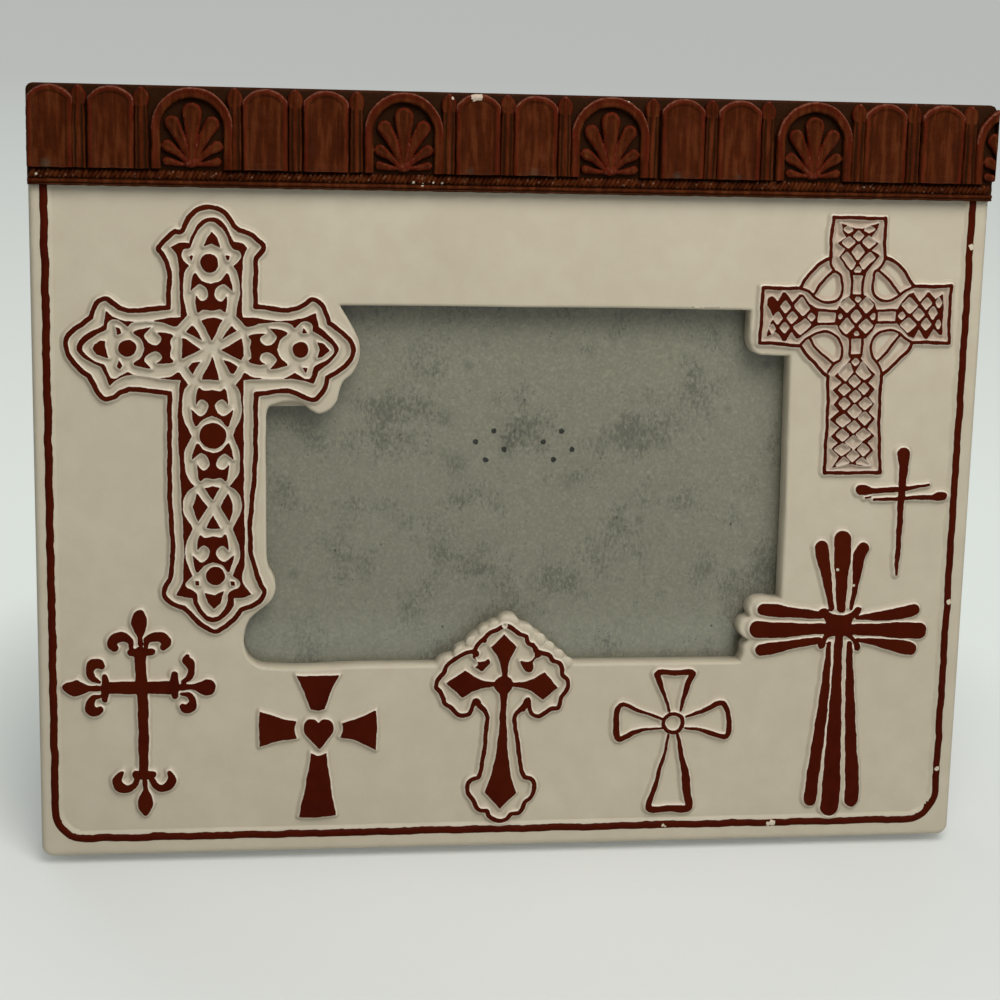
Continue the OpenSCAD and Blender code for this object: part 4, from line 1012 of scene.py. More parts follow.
def inward(distance, zone):
    """Moves a point inwards by a distance, down the slope of a zone's own distance."""
    def move(x, y):
        step = 0.01
        ax = (zone(x + step, y) - zone(x - step, y)) / (2 * step)
        ay = (zone(x, y + step) - zone(x, y - step)) / (2 * step)
        size = max(math.hypot(ax, ay), 1e-6)
        return x + distance * ax / size, y + distance * ay / size
    return move


def casting_body():
    bm = bmesh.new()
    lip, lip_faces = band_columns(LIP_CELL, (-75, 49), (77, 152), window_shape, 0.0, LIP_ZONE)
    x, y, gap = lip.T
    lip_verts = add_band(bm, lip, lip_faces, ground(x, y, gap))
    lip_open = open_edges(lip_faces)
    at_window = lip_open[(lip[lip_open, 2] < ON_EDGE).all(axis=1)]
    at_field = lip_open[(lip[lip_open, 2] > LIP_ZONE - ON_EDGE).all(axis=1)]

    rim, rim_faces = band_columns(RIM_CELL, (-127.4, -0.4), (127.4, 205.3), from_outline, 0.0, RIM_DEEP)
    inner = rim_zone(rim[:, 0], rim[:, 1])
    rim = np.concatenate([rim, inner[:, None]], axis=1)
    rim, rim_faces = slice_at(rim, rim_faces, 3, RIM_ZONE, 0.09)
    rim_faces = rim_faces[rim[rim_faces][:, :, 3].mean(axis=1) < RIM_ZONE]
    rim, rim_faces = drop_unused(rim, rim_faces)
    x, y = rim[:, 0], rim[:, 1]
    heights = ground(x, y, np.full(len(x), FAR))
    # The last row is level, so that the seam throws no broken shadow.
    heights[rim[:, 3] > RIM_FOOT - 0.15] = FIELD_D
    rim_verts = add_band(bm, rim, rim_faces, heights)
    rim_open = open_edges(rim_faces)
    at_outline = rim_open[(rim[rim_open, 2] < ON_EDGE).all(axis=1)]
    at_inner = rim_open[(rim[rim_open, 3] > RIM_ZONE - ON_EDGE).all(axis=1)]
    print("lip", len(lip_faces), "triangles, rim", len(rim_faces))

    field_edges = [bm.edges.get((lip_verts[a], lip_verts[b])) for a, b in at_field]
    field_edges += [bm.edges.get((rim_verts[a], rim_verts[b])) for a, b in at_inner]
    for edge in field_edges:
        for vert in edge.verts:
            vert.co.z = FIELD_D
    fill_flat(bm, field_edges, (0, 0, 1))

    # Outer sides, with a small chamfer at the back.
    _, side = wall_down(bm, rim_verts, at_outline, BACK_CHAMFER, smooth_wall=True)
    at_back, _ = wall_down(bm, side, at_outline, 0.0, inward(BACK_CHAMFER, from_outline))
    # Window wall down to the glass, and the step that the glass lies on.
    at_glass, _ = wall_down(bm, lip_verts, at_window, GLASS_FRONT_D, smooth_wall=True)
    corners = [(REBATE_LEFT, REBATE_LOW), (REBATE_RIGHT, REBATE_LOW), (REBATE_RIGHT, REBATE_HIGH),
               (REBATE_LEFT, REBATE_HIGH)]
    deep = [bm.verts.new((u, v, GLASS_FRONT_D)) for u, v in corners]
    shallow = [bm.verts.new((u, v, LEAD_IN)) for u, v in corners]
    wide = [bm.verts.new((u + LEAD_IN * (1 if i in (1, 2) else -1),
                          v + LEAD_IN * (1 if i > 1 else -1), 0.0)) for i, (u, v) in enumerate(corners)]
    for i in range(4):
        j = (i + 1) % 4
        bm.faces.new((deep[j], deep[i], shallow[i], shallow[j]))
        bm.faces.new((shallow[j], shallow[i], wide[i], wide[j]))
    step = at_glass + [bm.edges.get((deep[i], deep[(i + 1) % 4])) for i in range(4)]
    fill_flat(bm, step, (0, 0, -1))
    rebate_rim = [bm.edges.get((wide[i], wide[(i + 1) % 4])) for i in range(4)]
    for face in fill_flat(bm, at_back + rebate_rim, (0, 0, -1)):
        face.material_index = 1
    bmesh.ops.remove_doubles(bm, verts=bm.verts, dist=0.004)
    bmesh.ops.dissolve_degenerate(bm, dist=0.004, edges=bm.edges)
    bmesh.ops.delete(bm, geom=[e for e in bm.edges if not e.link_faces], context="EDGES")
    bmesh.ops.holes_fill(bm, edges=[e for e in bm.edges if len(e.link_faces) == 1], sides=5)
    print("edges without two faces:", sum(len(edge.link_faces) != 2 for edge in bm.edges))
    return bm


# %% [markdown]
# The back of the casting was poured open in its mould and sanded flat afterwards. It is the bare
# cream-white resin, dull, with fine parallel scratches of the belt and a few tiny bubbles cut open.

# %% Sanded resin


def sanded_resin():
    material, tree, spot = new_material("sanded_cast_resin")
    belt = add(tree, MAPPING, {"Vector": spot, "Scale": (1, 40, 40)}, "Vector")
    scratch = add(tree, NOISE, {"Vector": belt, "Scale": per_mm(18), "Detail": 3}, "Fac")
    pit = fleck(tree, spot, 9, 0.4, 0.5)
    broad = add(tree, NOISE, {"Vector": spot, "Scale": per_mm(30), "Detail": 3}, "Fac")
    height = add(tree, MATH, [scratch, pit], "Value", operation="SUBTRACT")
    finish_painted(tree, "B2A992", [(broad, "C2BBA8"), (pit, "8D8470")], {
        "Roughness": add(tree, RANGE, [scratch, 0.3, 0.7, 0.62, 0.8], "Result"),
        "Normal": add(tree, BUMP, {"Height": height, "Strength": 0.5, "Distance": 0.0001}, "Normal")})
    return material


RESIN = sanded_resin()
body = to_object("casting_body", casting_body(), [CREAM, RESIN])
ride_with_frame(body, "frame_casting")

# %% [markdown]
# The border line follows a path, so Geometry Nodes make it: the path is the line where the rim
# begins, a low dome is swept along it, and a little noise keeps it from looking extruded. The result
# is turned into a plain mesh, because a live modifier would not survive the export.

# %% Helpers for Geometry Nodes


def new_node_group(name, inputs):
    """A geometry group with its named inputs, and the two end nodes."""
    group = bpy.data.node_groups.new(name, "GeometryNodeTree")
    group.interface.new_socket(name="Geometry", in_out="INPUT", socket_type="NodeSocketGeometry")
    for label, kind, value in inputs:
        socket = group.interface.new_socket(name=label, in_out="INPUT", socket_type="NodeSocket" + kind)
        if value is not None:
            socket.default_value = value
    group.interface.new_socket(name="Geometry", in_out="OUTPUT", socket_type="NodeSocketGeometry")
    return group, add(group, "NodeGroupInput").outputs, add(group, "NodeGroupOutput")


def end_group(group, end, geometry, material):
    """Every group ends alike: instances made real, then the material set."""
    whole = add(group, "GeometryNodeRealizeInstances", {"Geometry": geometry}, "Geometry")
    coated = add(group, "GeometryNodeSetMaterial", {"Geometry": whole, "Material": material}, "Geometry")
    group.links.new(coated, end.inputs["Geometry"])


def jitter(group, amount, scale, flatten=(1, 1, 1)):
    """A soft noise, as an offset of points, centred on nothing."""
    where = add(group, "GeometryNodeInputPosition", out="Position")
    noise = add(group, NOISE, {"Vector": where, "Scale": scale}, "Color")
    centred = add(group, VECTOR_MATH, [noise, (0.5, 0.5, 0.5)], "Vector", operation="SUBTRACT")
    level = add(group, VECTOR_MATH, [centred, flatten], "Vector", operation="MULTIPLY")
    return add(group, VECTOR_MATH, {0: level, "Scale": amount}, "Vector", operation="SCALE")


def grow(name, group, settings, start):
    """Run a geometry group on a mesh or curve and keep the result as a plain mesh."""
    seed_object = into_scene(name + "_start", start)
    modifier = seed_object.modifiers.new("grow", "NODES")
    modifier.node_group = group
    for item in group.interface.items_tree:
        if item.item_type == "SOCKET" and item.in_out == "INPUT" and item.name in settings:
            modifier[item.identifier] = settings[item.name]
    evaluated = seed_object.evaluated_get(bpy.context.evaluated_depsgraph_get())
    mesh = bpy.data.meshes.new_from_object(evaluated)
    mesh.name = name
    seed_object.modifiers.clear()
    bpy.data.objects.remove(seed_object)
    return into_scene(name, mesh)


def points_mesh(name, spots):
    """A mesh of loose points, from drawing millimetres to metres."""
    mesh = bpy.data.meshes.new(name)
    mesh.from_pydata([tuple(0.001 * c for c in spot) for spot in spots], [], [])
    return mesh


def stroke_curve(name, points):
    """A poly curve that a geometry group can sweep along."""
    data = bpy.data.curves.new(name, "CURVE")
    data.dimensions = "3D"
    spline = data.splines.new("POLY")
    spline.points.add(len(points) - 1)
    for target, point in zip(spline.points, points):
        target.co = (*point, 1)
    return data


def settle(piece, recalculate=True):
    """Lean a piece that was drawn in flat metres, and make its faces point outwards."""
    piece.data.transform(LEAN_BACK @ Matrix.Scale(1000, 4))
    if recalculate:
        bm = bmesh.new()
        bm.from_mesh(piece.data)
        bmesh.ops.remove_doubles(bm, verts=bm.verts, dist=0.000002)
        bmesh.ops.recalc_face_normals(bm, faces=bm.faces)
        bm.to_mesh(piece.data)
        bm.free()


print("geometry helpers ready")

# %% Border line


def border_path():
    """Points along the border, from top left down and round to top right, pulled onto its line."""
    top = CORNICE_V + 2
    ideal = [(BORDER_LEFT, v) for v in np.arange(top, BORDER_LOW + BORDER_CORNER, -1.0)]
    for turn_start, u in ((180, BORDER_LEFT + BORDER_CORNER), (270, BORDER_RIGHT - BORDER_CORNER)):
        if turn_start == 270:
            ideal += [(x, BORDER_LOW) for x in np.arange(ideal[-1][0] + 1.0, u, 1.0)]
        for angle in np.radians(np.arange(turn_start, turn_start + 91, 10)):
            ideal.append((u + BORDER_CORNER * math.cos(angle),
                          BORDER_LOW + BORDER_CORNER * (1 + math.sin(angle))))
    ideal += [(BORDER_RIGHT, v) for v in np.arange(BORDER_LOW + BORDER_CORNER + 1, top + 0.5, 1.0)]
    x, y = np.array(ideal).T
    for _ in range(3):
        gap = from_border(x, y)
        gx = (from_border(x + 0.05, y) - from_border(x - 0.05, y)) / 0.1
        gy = (from_border(x, y + 0.05) - from_border(x, y - 0.05)) / 0.1
        x, y = x - gap * gx / (gx**2 + gy**2), y - gap * gy / (gx**2 + gy**2)
    return [(u * 0.001, v * 0.001, 0.0) for u, v in zip(x, y)]


def border_group():
    group, given, end = new_node_group("swept_line", [
        ("Width", "Float", 0.0028), ("Rise", "Float", 0.0028), ("Base", "Float", 0.0125),
        ("Waver", "Float", 0.0007), ("Thinnest", "Float", 0.8), ("Paint", "Material", None)])
    even = add(group, "GeometryNodeResampleCurve", {
        "Curve": given["Geometry"], "Length": 0.0006}, "Curve", mode="LENGTH")
    wavy = add(group, "GeometryNodeSetPosition", {
        "Geometry": even, "Offset": jitter(group, given["Waver"], 160, (1, 1, 0))}, "Geometry")
    where = add(group, "GeometryNodeInputPosition", out="Position")
    brushed = add(group, NOISE, {"Vector": where, "Scale": 90}, "Fac")
    fullness = add(group, RANGE, [brushed, 0.35, 0.65, given["Thinnest"], 1.08], "Result")
    fuller = add(group, "GeometryNodeSetCurveRadius", {"Curve": wavy, "Radius": fullness}, "Curve")
    upright = add(group, "GeometryNodeSetCurveNormal", {"Curve": fuller}, "Curve", mode="Z_UP")
    arc = add(group, "GeometryNodeCurveArc", {
        "Resolution": 9, "Radius": 0.5, "Start Angle": math.pi, "Sweep Angle": math.pi,
        "Connect Center": False}, "Curve")
    shut = add(group, "GeometryNodeSetSplineCyclic", {"Geometry": arc, "Cyclic": True}, "Geometry")
    size = add(group, XYZ, {"X": given["Width"], "Y": given["Rise"], "Z": 1.0}, "Vector")
    sized = add(group, TRANSFORM, {"Geometry": shut, "Scale": size}, "Geometry")
    tube = add(group, "GeometryNodeCurveToMesh", {
        "Curve": upright, "Profile Curve": sized, "Fill Caps": True}, "Mesh")
    lift = add(group, XYZ, {"Z": given["Base"]}, "Vector")
    raised = add(group, TRANSFORM, {"Geometry": tube, "Translation": lift}, "Geometry")
    smoothed = add(group, "GeometryNodeSetShadeSmooth", {"Geometry": raised}, "Geometry")
    end_group(group, end, smoothed, given["Paint"])
    return group


border = grow("border_line", border_group(), {
    "Width": 0.0028, "Rise": 0.0028, "Base": 0.0125, "Waver": 0.0007, "Thinnest": 0.8,
    "Paint": OXBLOOD_LINE},
    stroke_curve("border_path", border_path()))
settle(border)
ride_with_frame(border)

# %% [markdown]
# Where the scalloped cross laps into the window, the edge of its cream step is cast as a row of
# pearls. They are the same ball set down many times, so Geometry Nodes place them on measured spots,
# each a little different in size, and so flat that they only scallop the edge of the step.

# %% Pearls on the window's edge
PEARLS = read("""
-17.6 52.5,-14.3 55,-10.9 57.9,-7.4 60.8,-4.8 62.1,-1.8 63.7,-.2 63.6,3.9 61.1,7.4 58.6,
9.9 56.4,12.6 54.2,15.1 52""")


def pearl_group():
    group, given, end = new_node_group("balls_on_points", [
        ("Radius", "Float", 0.0019), ("Flatness", "Float", 0.5), ("Seed", "Int", 7),
        ("Paint", "Material", None)])
    ball = add(group, "GeometryNodeMeshUVSphere", {
        "Segments": 20, "Rings": 12, "Radius": given["Radius"]}, "Mesh")
    round_ball = add(group, "GeometryNodeSetShadeSmooth", {"Geometry": ball}, "Geometry")
    squash = add(group, XYZ, {"X": 1.0, "Y": 1.0, "Z": given["Flatness"]}, "Vector")
    pearl = add(group, TRANSFORM, {"Geometry": round_ball, "Scale": squash}, "Geometry")
    size = add(group, RANDOM, {
        0: (0.92, 0.92, 0.94), 1: (1.08, 1.08, 1.04), "Seed": given["Seed"]}, 0,
        data_type="FLOAT_VECTOR")
    placed = add(group, INSTANCES, {
        "Points": given["Geometry"], "Instance": pearl, "Scale": size}, "Instances")
    end_group(group, end, placed, given["Paint"])
    return group


PEARL_D = FIELD_D - 0.45
pearls = grow("window_pearls", pearl_group(), {
    "Radius": 0.0019, "Flatness": 0.5, "Seed": 7, "Paint": CREAM},
    points_mesh("pearl_spots", [(u, v, PEARL_D) for u, v in PEARLS]))
settle(pearls)
ride_with_frame(pearls)

# %% [markdown]
# The moulding is cast too, and stained: a red-brown wash, brushed upwards, that dries almost black in
# the recesses. Afterwards its high edges were rubbed, which leaves them reddish, with a thin pale line
# where the cloth went through; along the tops of the arches and tongues this lightening is also a
# painted highlight. The ornament's meshes store how rubbed and highlit and how recessed each point is.
# On the rope, pale flecks are bare resin and painted glints.

# %% Stained moulding
# Middle (u, v, d) and radius of each pale spot, in mm; the two near the top at u -13 make one chip.
CORNICE_LIGHTS = read("""
-13.8 203.9 17 1.1,-12.7 203.8 17 1,-29.3 181.7 16 .65,-26.7 181.4 16 .6,-24 181.8 16 .5,
-21.7 181.6 16 .6,87.7 204.4 16.8 .5,104 204.8 16.8 .4,106.3 204 16.8 .5,91 182.9 16 .3,
101.3 182 16 .35,126.5 183 16 .5,-124.6 182.4 16 .4,26.4 203.6 17.1 .4,-59.5 184.6 16 .5,
-19.3 203.5 16.6 .5""")
TONGUE_FEET = [-122, -14.7, 2, 40, 56.3]


def stained_resin(name, wear_and_highlight):
    """The stain, with a share of pale flecks: bare resin, and painted glints on the rope's strands."""
    material, tree, spot = new_material(name)
    upwards = add(tree, MAPPING, {"Vector": spot, "Scale": (1, 0.13, 0.13)}, "Vector")
    streak = add(tree, NOISE, {"Vector": upwards, "Scale": per_mm(1.5), "Detail": 3}, "Fac")
    patch = add(tree, NOISE, {"Vector": spot, "Scale": per_mm(5), "Detail": 4, "Roughness": 0.6}, "Fac")
    grain = add(tree, NOISE, {"Vector": spot, "Scale": per_mm(0.9), "Detail": 3, "Roughness": 0.6}, "Fac")
    rubbed_and_highlit, recess = [add(tree, STORED, out="Fac", attribute_name=key) for key in ("rubbed_and_highlit", "recess")]
    # The stored rubbing lightens and reddens the edges and lays the thin pale line: wear by the cloth, and
    # along the tops of the arches and tongues a painted highlight.
    uneven = add(tree, MATH, [patch, 0.5, rubbed_and_highlit], "Value", operation="MULTIPLY_ADD")
    worn_line_and_highlight = add(tree, MATH, [grain, 1.0, rubbed_and_highlit], "Value", operation="MULTIPLY_ADD")
    deep = add(tree, MATH, [patch, 0.4, recess], "Value", operation="MULTIPLY_ADD")
    # Pale flecks, on the rope alone: bare resin, and painted glints on its strands.
    bare = add(tree, MATH, [fleck(tree, spot, 1.3, 0.45, 0.4, 0.8), wear_and_highlight], "Value", operation="MULTIPLY")
    coats = [(patch, "4B1F0A"), (add(tree, RANGE, [streak, 0.45, 0.62, 0, 0.5], "Result"), "2A1005"),
             (add(tree, RANGE, [streak, 0.5, 0.36, 0, 0.45], "Result"), "5B3017"),
             (add(tree, RANGE, [uneven, 0.35, 0.85, 0, 0.8], "Result"), "54170C"),
             (add(tree, RANGE, [worn_line_and_highlight, 1.0, 1.5, 0, 0.7], "Result"), "80604B"),
             (add(tree, RANGE, [deep, 0.3, 0.95, 0, 1], "Result"), "281407"), (bare, "8F6F58")]
    for u in TONGUE_FEET:
        coats.append((blot(tree, spot, place(u, 184.8, 16), patch, 1.7, 1.5, 0.55), "47473A"))
    for u, v, d, radius in CORNICE_LIGHTS:
        coats.append((blot(tree, spot, place(u, v, d), grain, radius, 0.15, 0.85), "C5B6A3"))
    fine = add(tree, BUMP, {"Height": grain, "Strength": 0.5, "Distance": 0.0003}, "Normal")
    carved = add(tree, BUMP, {"Height": patch, "Strength": 0.5, "Distance": 0.0005, "Normal": fine},
                 "Normal")
    finish_painted(tree, "371505", coats, {
        "Roughness": add(tree, RANGE, [patch, 0.3, 0.7, 0.4, 0.6], "Result"), "Normal": carved,
        "IOR": 1.5, "Specular IOR Level": 0.02})
    return material


STAIN, STAIN_WEAR_AND_GLINT = stained_resin("umber_stained_resin", 0.0), stained_resin("umber_stained_rope", 0.5)
print("materials", STAIN.name, STAIN_WEAR_AND_GLINT.name)

# %% [markdown]
# The ornament repeats every 54 mm: an arch over a palmette, then two round-topped tongues, with a
# dart in each gap. Each is drawn once as heights over the slab: bands along an edge, hollows inside
# them, and petals that are rims round a hollow. A drawing gives four things for every spot: how far
# inside the shape it is, its height, how much it is lightened for wear by the cloth and as a painted
# highlight, and how deep in a recess it lies.

# %% Draw tongue, arch and dart
SLAB_D, CORNICE_END = 15.1, 126.95
ORNAMENT_V, FOOT_Y = 184.9, -0.7


def rise(inside, start, width):
    """A quarter-round that climbs from start to 1 over a width, going inwards from an edge."""
    t = np.clip(inside / width, 0, 1)
    return start + (1 - start) * np.sqrt(1 - (1 - t)**2)


def round_top(half_w, top, radius, steps=18):
    """Outline of a tongue: straight sides under a flat arc."""
    middle = top - radius
    reach = math.asin(half_w / radius)
    arc = [(radius * math.sin(a), middle + radius * math.cos(a)) for a in np.linspace(reach, -reach, steps)]
    return [(-half_w, -2.0), (half_w, -2.0)] + arc


def tongue(x, y):
    inside = -area(round_top(5.85, 19.88, 7.1), soft=False)(x, y)
    hollow = 0.4 * smooth(inside, 1.1, 2.0) + 0.15 * smooth(inside, 2.0, 4.5)
    top = smooth(y, 13, 17)
    # Painted highlight: the edge of the top arc is lightened, where light from above catches it; the
    # broader band inside the edge is wear by the cloth.
    rubbed_and_highlit = 0.65 * bell(inside, 0.25, 0.25) * top + 0.34 * bell(inside, 0.8, 0.75)
    recess = 0.42 * bell(inside, 1.75, 0.3) + 0.5 * bell(inside, 0, 0.25) * (1 - top)
    return inside, 2.35 * rise(inside, 0.4, 0.6) - hollow, rubbed_and_highlit, recess


def arch(x, y):
    outer = -area(round_top(10.3, 19.97, 10.35, 30), soft=False)(x, y)
    inner = area(round_top(7.9, 17.1, 7.95, 30), soft=False)(x, y)
    inside = np.minimum(outer, inner)
    best = np.where(inside > 0, 2.35 * rise(inside, 0.5, 0.5) - 0.35 * smooth(outer, 0.6, 1.6), -1)
    top = smooth(y, 7, 12)
    # Painted highlight: the outer edge is lightened most along the top of the arch; the broader band inside
    # it is wear by the cloth.
    rubbed_and_highlit = np.where(inside > 0, 0.7 * bell(outer, 0.25, 0.25) * top + 0.34 * bell(outer, 1.0, 0.9), 0)
    petals = [("0 1.5 .9, 0 8 1.7, 0 13.5 2.6", 0.35)]
    for side in ("", "-"):
        petals += [(f"{side}.9 2.2 .7, {side}3.1 7.4 1.5, {side}5 10.8 2", 0.15),
                   (f"{side}1.6 1.4 .6, {side}4.3 3.9 1.15, {side}6.2 5.1 1.6", 0),
                   (f"{side}1.8 .5 .5, {side}4.4 .8 .9, {side}6.4 1.2 1.15", -0.1)]
    for points, extra in petals:
        depth = -line(read(points))(x, y)
        height = (1.75 + extra) * rise(depth, 0.35, 0.9) - 0.22 * smooth(depth, 0.9, 1.6)
        over = (depth > 0) & (height > best)
        best = np.where(over, height, best)
        rubbed_and_highlit = np.where(over, 0.5 * bell(depth, 0.35, 0.3) + 0.05, rubbed_and_highlit)
        inside = np.maximum(inside, depth)
    boss = 1.0 - np.hypot(x / 2.0, (y - 0.9) / 1.3)
    over = (boss > 0) & (2.15 * rise(boss, 0.5, 0.8) > best)
    best = np.where(over, 2.15 * rise(boss, 0.5, 0.8), best)
    return np.maximum(inside, boss), best, np.where(over, 0.5, rubbed_and_highlit), 0.9 * smooth(best, 1.25, 0.7)


def dart(x, y):
    inside = -line(read("0 -1 1.75, 0 13.5 1.6, 0 15 1.55, 0 16.9 2.1, 0 18.4 1.3, 0 19.6 .3"))(x, y)
    stem, leaf = smooth(y, 15.6, 14.6), smooth(y, 14.8, 15.8)
    groove = 0.6 * bell(np.abs(x), 0.88, 0.25) * stem + 0.4 * smooth(np.abs(x), 0.15, 0.7) * leaf
    rubbed_and_highlit = 0.3 * bell(x, 0, 0.3) + 0.5 * bell(inside, 0.3, 0.25) * leaf
    return inside, 2.1 * rise(inside, 0.4, 0.5) - groove, rubbed_and_highlit, 0.85 * bell(np.abs(x), 0.88, 0.3) * stem


def motif(name, drawing, low, high, cell=0.26):
    """A motif as a closed flat-bottomed object, drawn in metres round its own middle."""
    points, triangles = grid(low, high, cell)
    inside = drawing(points[:, 0], points[:, 1])[0]
    columns = np.stack([points[:, 0], points[:, 1], inside], 1)
    triangles = triangles[inside[triangles].max(axis=1) > 0]
    for column, level in ((2, 0.0), (1, FOOT_Y)):
        columns, triangles = slice_at(columns, triangles, column, level, cell * 0.15)
        triangles = triangles[columns[triangles][:, :, column].mean(axis=1) > level]
    columns, triangles = drop_unused(columns, triangles)
    _, heights, rubbed_and_highlit, recess = drawing(columns[:, 0], columns[:, 1])
    bm = sunk_mesh(columns, triangles, np.maximum(heights, 0.3), np.zeros(len(triangles), bool),
                   {"rubbed_and_highlit": rubbed_and_highlit, "recess": recess}, -0.5, {"rubbed_and_highlit": 0.0, "recess": 1.0})
    bm.transform(Matrix.Scale(0.001, 4))
    made = to_object(name, bm, [], lean=False)
    print(name, len(made.data.polygons), "faces")
    return made


# %% [markdown]
# Geometry Nodes set the motifs out along the moulding. The mould was pressed by hand, so the places
# are measured ones and not an even pitch. Each instance gets a slightly different size and turn from
# a fixed seed, and a soft noise bends them all a little.

# %% Set out the ornament
ARCHES_AT = [-85.7, -31.8, 22.1, 76.8, 131.4]
TONGUES_AT = [-121.1, -106, -67.2, -51.8, -12.6, 2.3, 41.3, 56.4, 96, 111.7]
DARTS_AT = [-113.9, -98.3, -74.9, -59.6, -44, -20.3, -5.1, 10, 33, 48.8, 64.1, 88.7, 103.8, 119.5]


def row_group():
    group, given, end = new_node_group("motif_row", [
        ("Motif", "Object", None), ("Uneven", "Float", 0.0005), ("Seed", "Int", 3),
        ("Stain", "Material", None)])
    shape = add(group, "GeometryNodeObjectInfo", {"Object": given["Motif"]}, "Geometry")
    size = add(group, RANDOM, {
        0: (0.985, 0.992, 0.97), 1: (1.01, 1.0, 1.03), "Seed": given["Seed"]}, 0,
        data_type="FLOAT_VECTOR")
    turn_by = add(group, RANDOM, {
        0: (0, 0, -0.008), 1: (0, 0, 0.008), "Seed": given["Seed"]}, 0, data_type="FLOAT_VECTOR")
    placed = add(group, INSTANCES, {
        "Points": given["Geometry"], "Instance": shape, "Rotation": turn_by, "Scale": size}, "Instances")
    whole = add(group, "GeometryNodeRealizeInstances", {"Geometry": placed}, "Geometry")
    bent = add(group, "GeometryNodeSetPosition", {
        "Geometry": whole, "Offset": jitter(group, given["Uneven"], 330)}, "Geometry")
    end_group(group, end, bent, given["Stain"])
    return group


def cut_end(piece, at):
    """Cut a flat-drawn piece off at the right end of the moulding, and close the cut."""
    bm = bmesh.new()
    bm.from_mesh(piece.data)
    made = bmesh.ops.bisect_plane(
        bm, geom=bm.verts[:] + bm.edges[:] + bm.faces[:], plane_co=(at, 0, 0), plane_no=(1, 0, 0),
        clear_outer=True)
    edges = [e for e in made["geom_cut"] if isinstance(e, bmesh.types.BMEdge)]
    fill_flat(bm, edges, (1, 0, 0), next(iter(bm.faces)).material_index)
    bm.to_mesh(piece.data)
    bm.free()


ROW = row_group()
for name, drawing, half_w, places, seed in (
        ("ornament_arches", arch, 10.8, ARCHES_AT, 3), ("ornament_tongues", tongue, 6.4, TONGUES_AT, 5),
        ("ornament_darts", dart, 2.4, DARTS_AT, 8)):
    shape = motif(name + "_motif", drawing, (-half_w, FOOT_Y - 0.4), (half_w, 20.4))
    spots = points_mesh(name + "_spots", [(u, ORNAMENT_V, SLAB_D) for u in places])
    piece = grow(name, ROW, {"Motif": shape, "Uneven": 0.0005, "Seed": seed, "Stain": STAIN}, spots)
    bpy.data.objects.remove(shape)
    if name == "ornament_arches":
        cut_end(piece, CORNICE_END * 0.001)
    settle(piece, recalculate=False)
    ride_with_frame(piece)

# %% [markdown]
# Under the ornament runs a rope: slanted strands lying on a round core, over a plain fillet. The
# slab, core and fillet are one profile drawn out along the moulding, with its lower edge a little
# uneven. Each strand is a small ball pulled long, since a few dozen faces are enough.

# %% Moulding base and rope
CORNICE_TOP = 204.97
# Height v, depth d and recess of each point of the profile.
PROFILE = read("""
179.55 12.2 1,179.55 15.1 1,179.7 15.5 .3,179.95 15.65 .2,180.12 15.35 1,180.25 15.3 1,
180.4 15.65 .1,180.6 15.8 0,180.95 15.8 0,181.15 15.6 .1,181.3 15.2 .6,181.5 15 .8,
182.6 15.3 .5,183.8 15 .8,184.1 15.1 1,190 15.1 1,195 15.1 1,200 15.1 .9,204.2 15.1 .75,
204.7 15 .5,204.97 14.7 .4,204.97 12.2 .5""")


def moulding_base():
    bm = bmesh.new()
    recess = bm.verts.layers.float.new("recess")
    rings = []
    stations = np.concatenate([[-CORNICE_END, -126.8, -126.4, -126.0], np.arange(-125.2, 125.6, 0.8),
                               [126.0, 126.4, 126.8, CORNICE_END]])
    for u in stations:
        near_end = np.clip((abs(u) - 124.95) / 2.0, 0, 1)
        trim = 1.8 * (1 - math.sqrt(max(0.0, 1 - near_end**2)))
        low_wave = 0.16 * math.sin(0.31 * u) + 0.12 * math.sin(0.83 * u + 1) + 0.07 * math.sin(2.1 * u)
        ring = []
        for k, (v, d, depth) in enumerate(PROFILE):
            if k < 9:
                v = v + (0.5 * abs(low_wave) if k < 4 else 0.3 * low_wave)
            d = d - 0.3 * trim if d > 13 else d
            ring.append(bm.verts.new((u, min(v, CORNICE_TOP - trim), d)))
            ring[-1][recess] = depth
        rings.append(ring)
    count = len(PROFILE)
    for a, b in zip(rings[:-1], rings[1:]):
        for k in range(count):
            m = (k + 1) % count
            bm.faces.new((a[k], b[k], b[m], a[m])).smooth = k not in (0, count - 1, count - 2)
    bm.faces.new(rings[0])
    bm.faces.new(rings[-1][::-1])
    bmesh.ops.recalc_face_normals(bm, faces=bm.faces)
    return bm


base = to_object("moulding_base", moulding_base(), [STAIN])
ride_with_frame(base, "cornice")


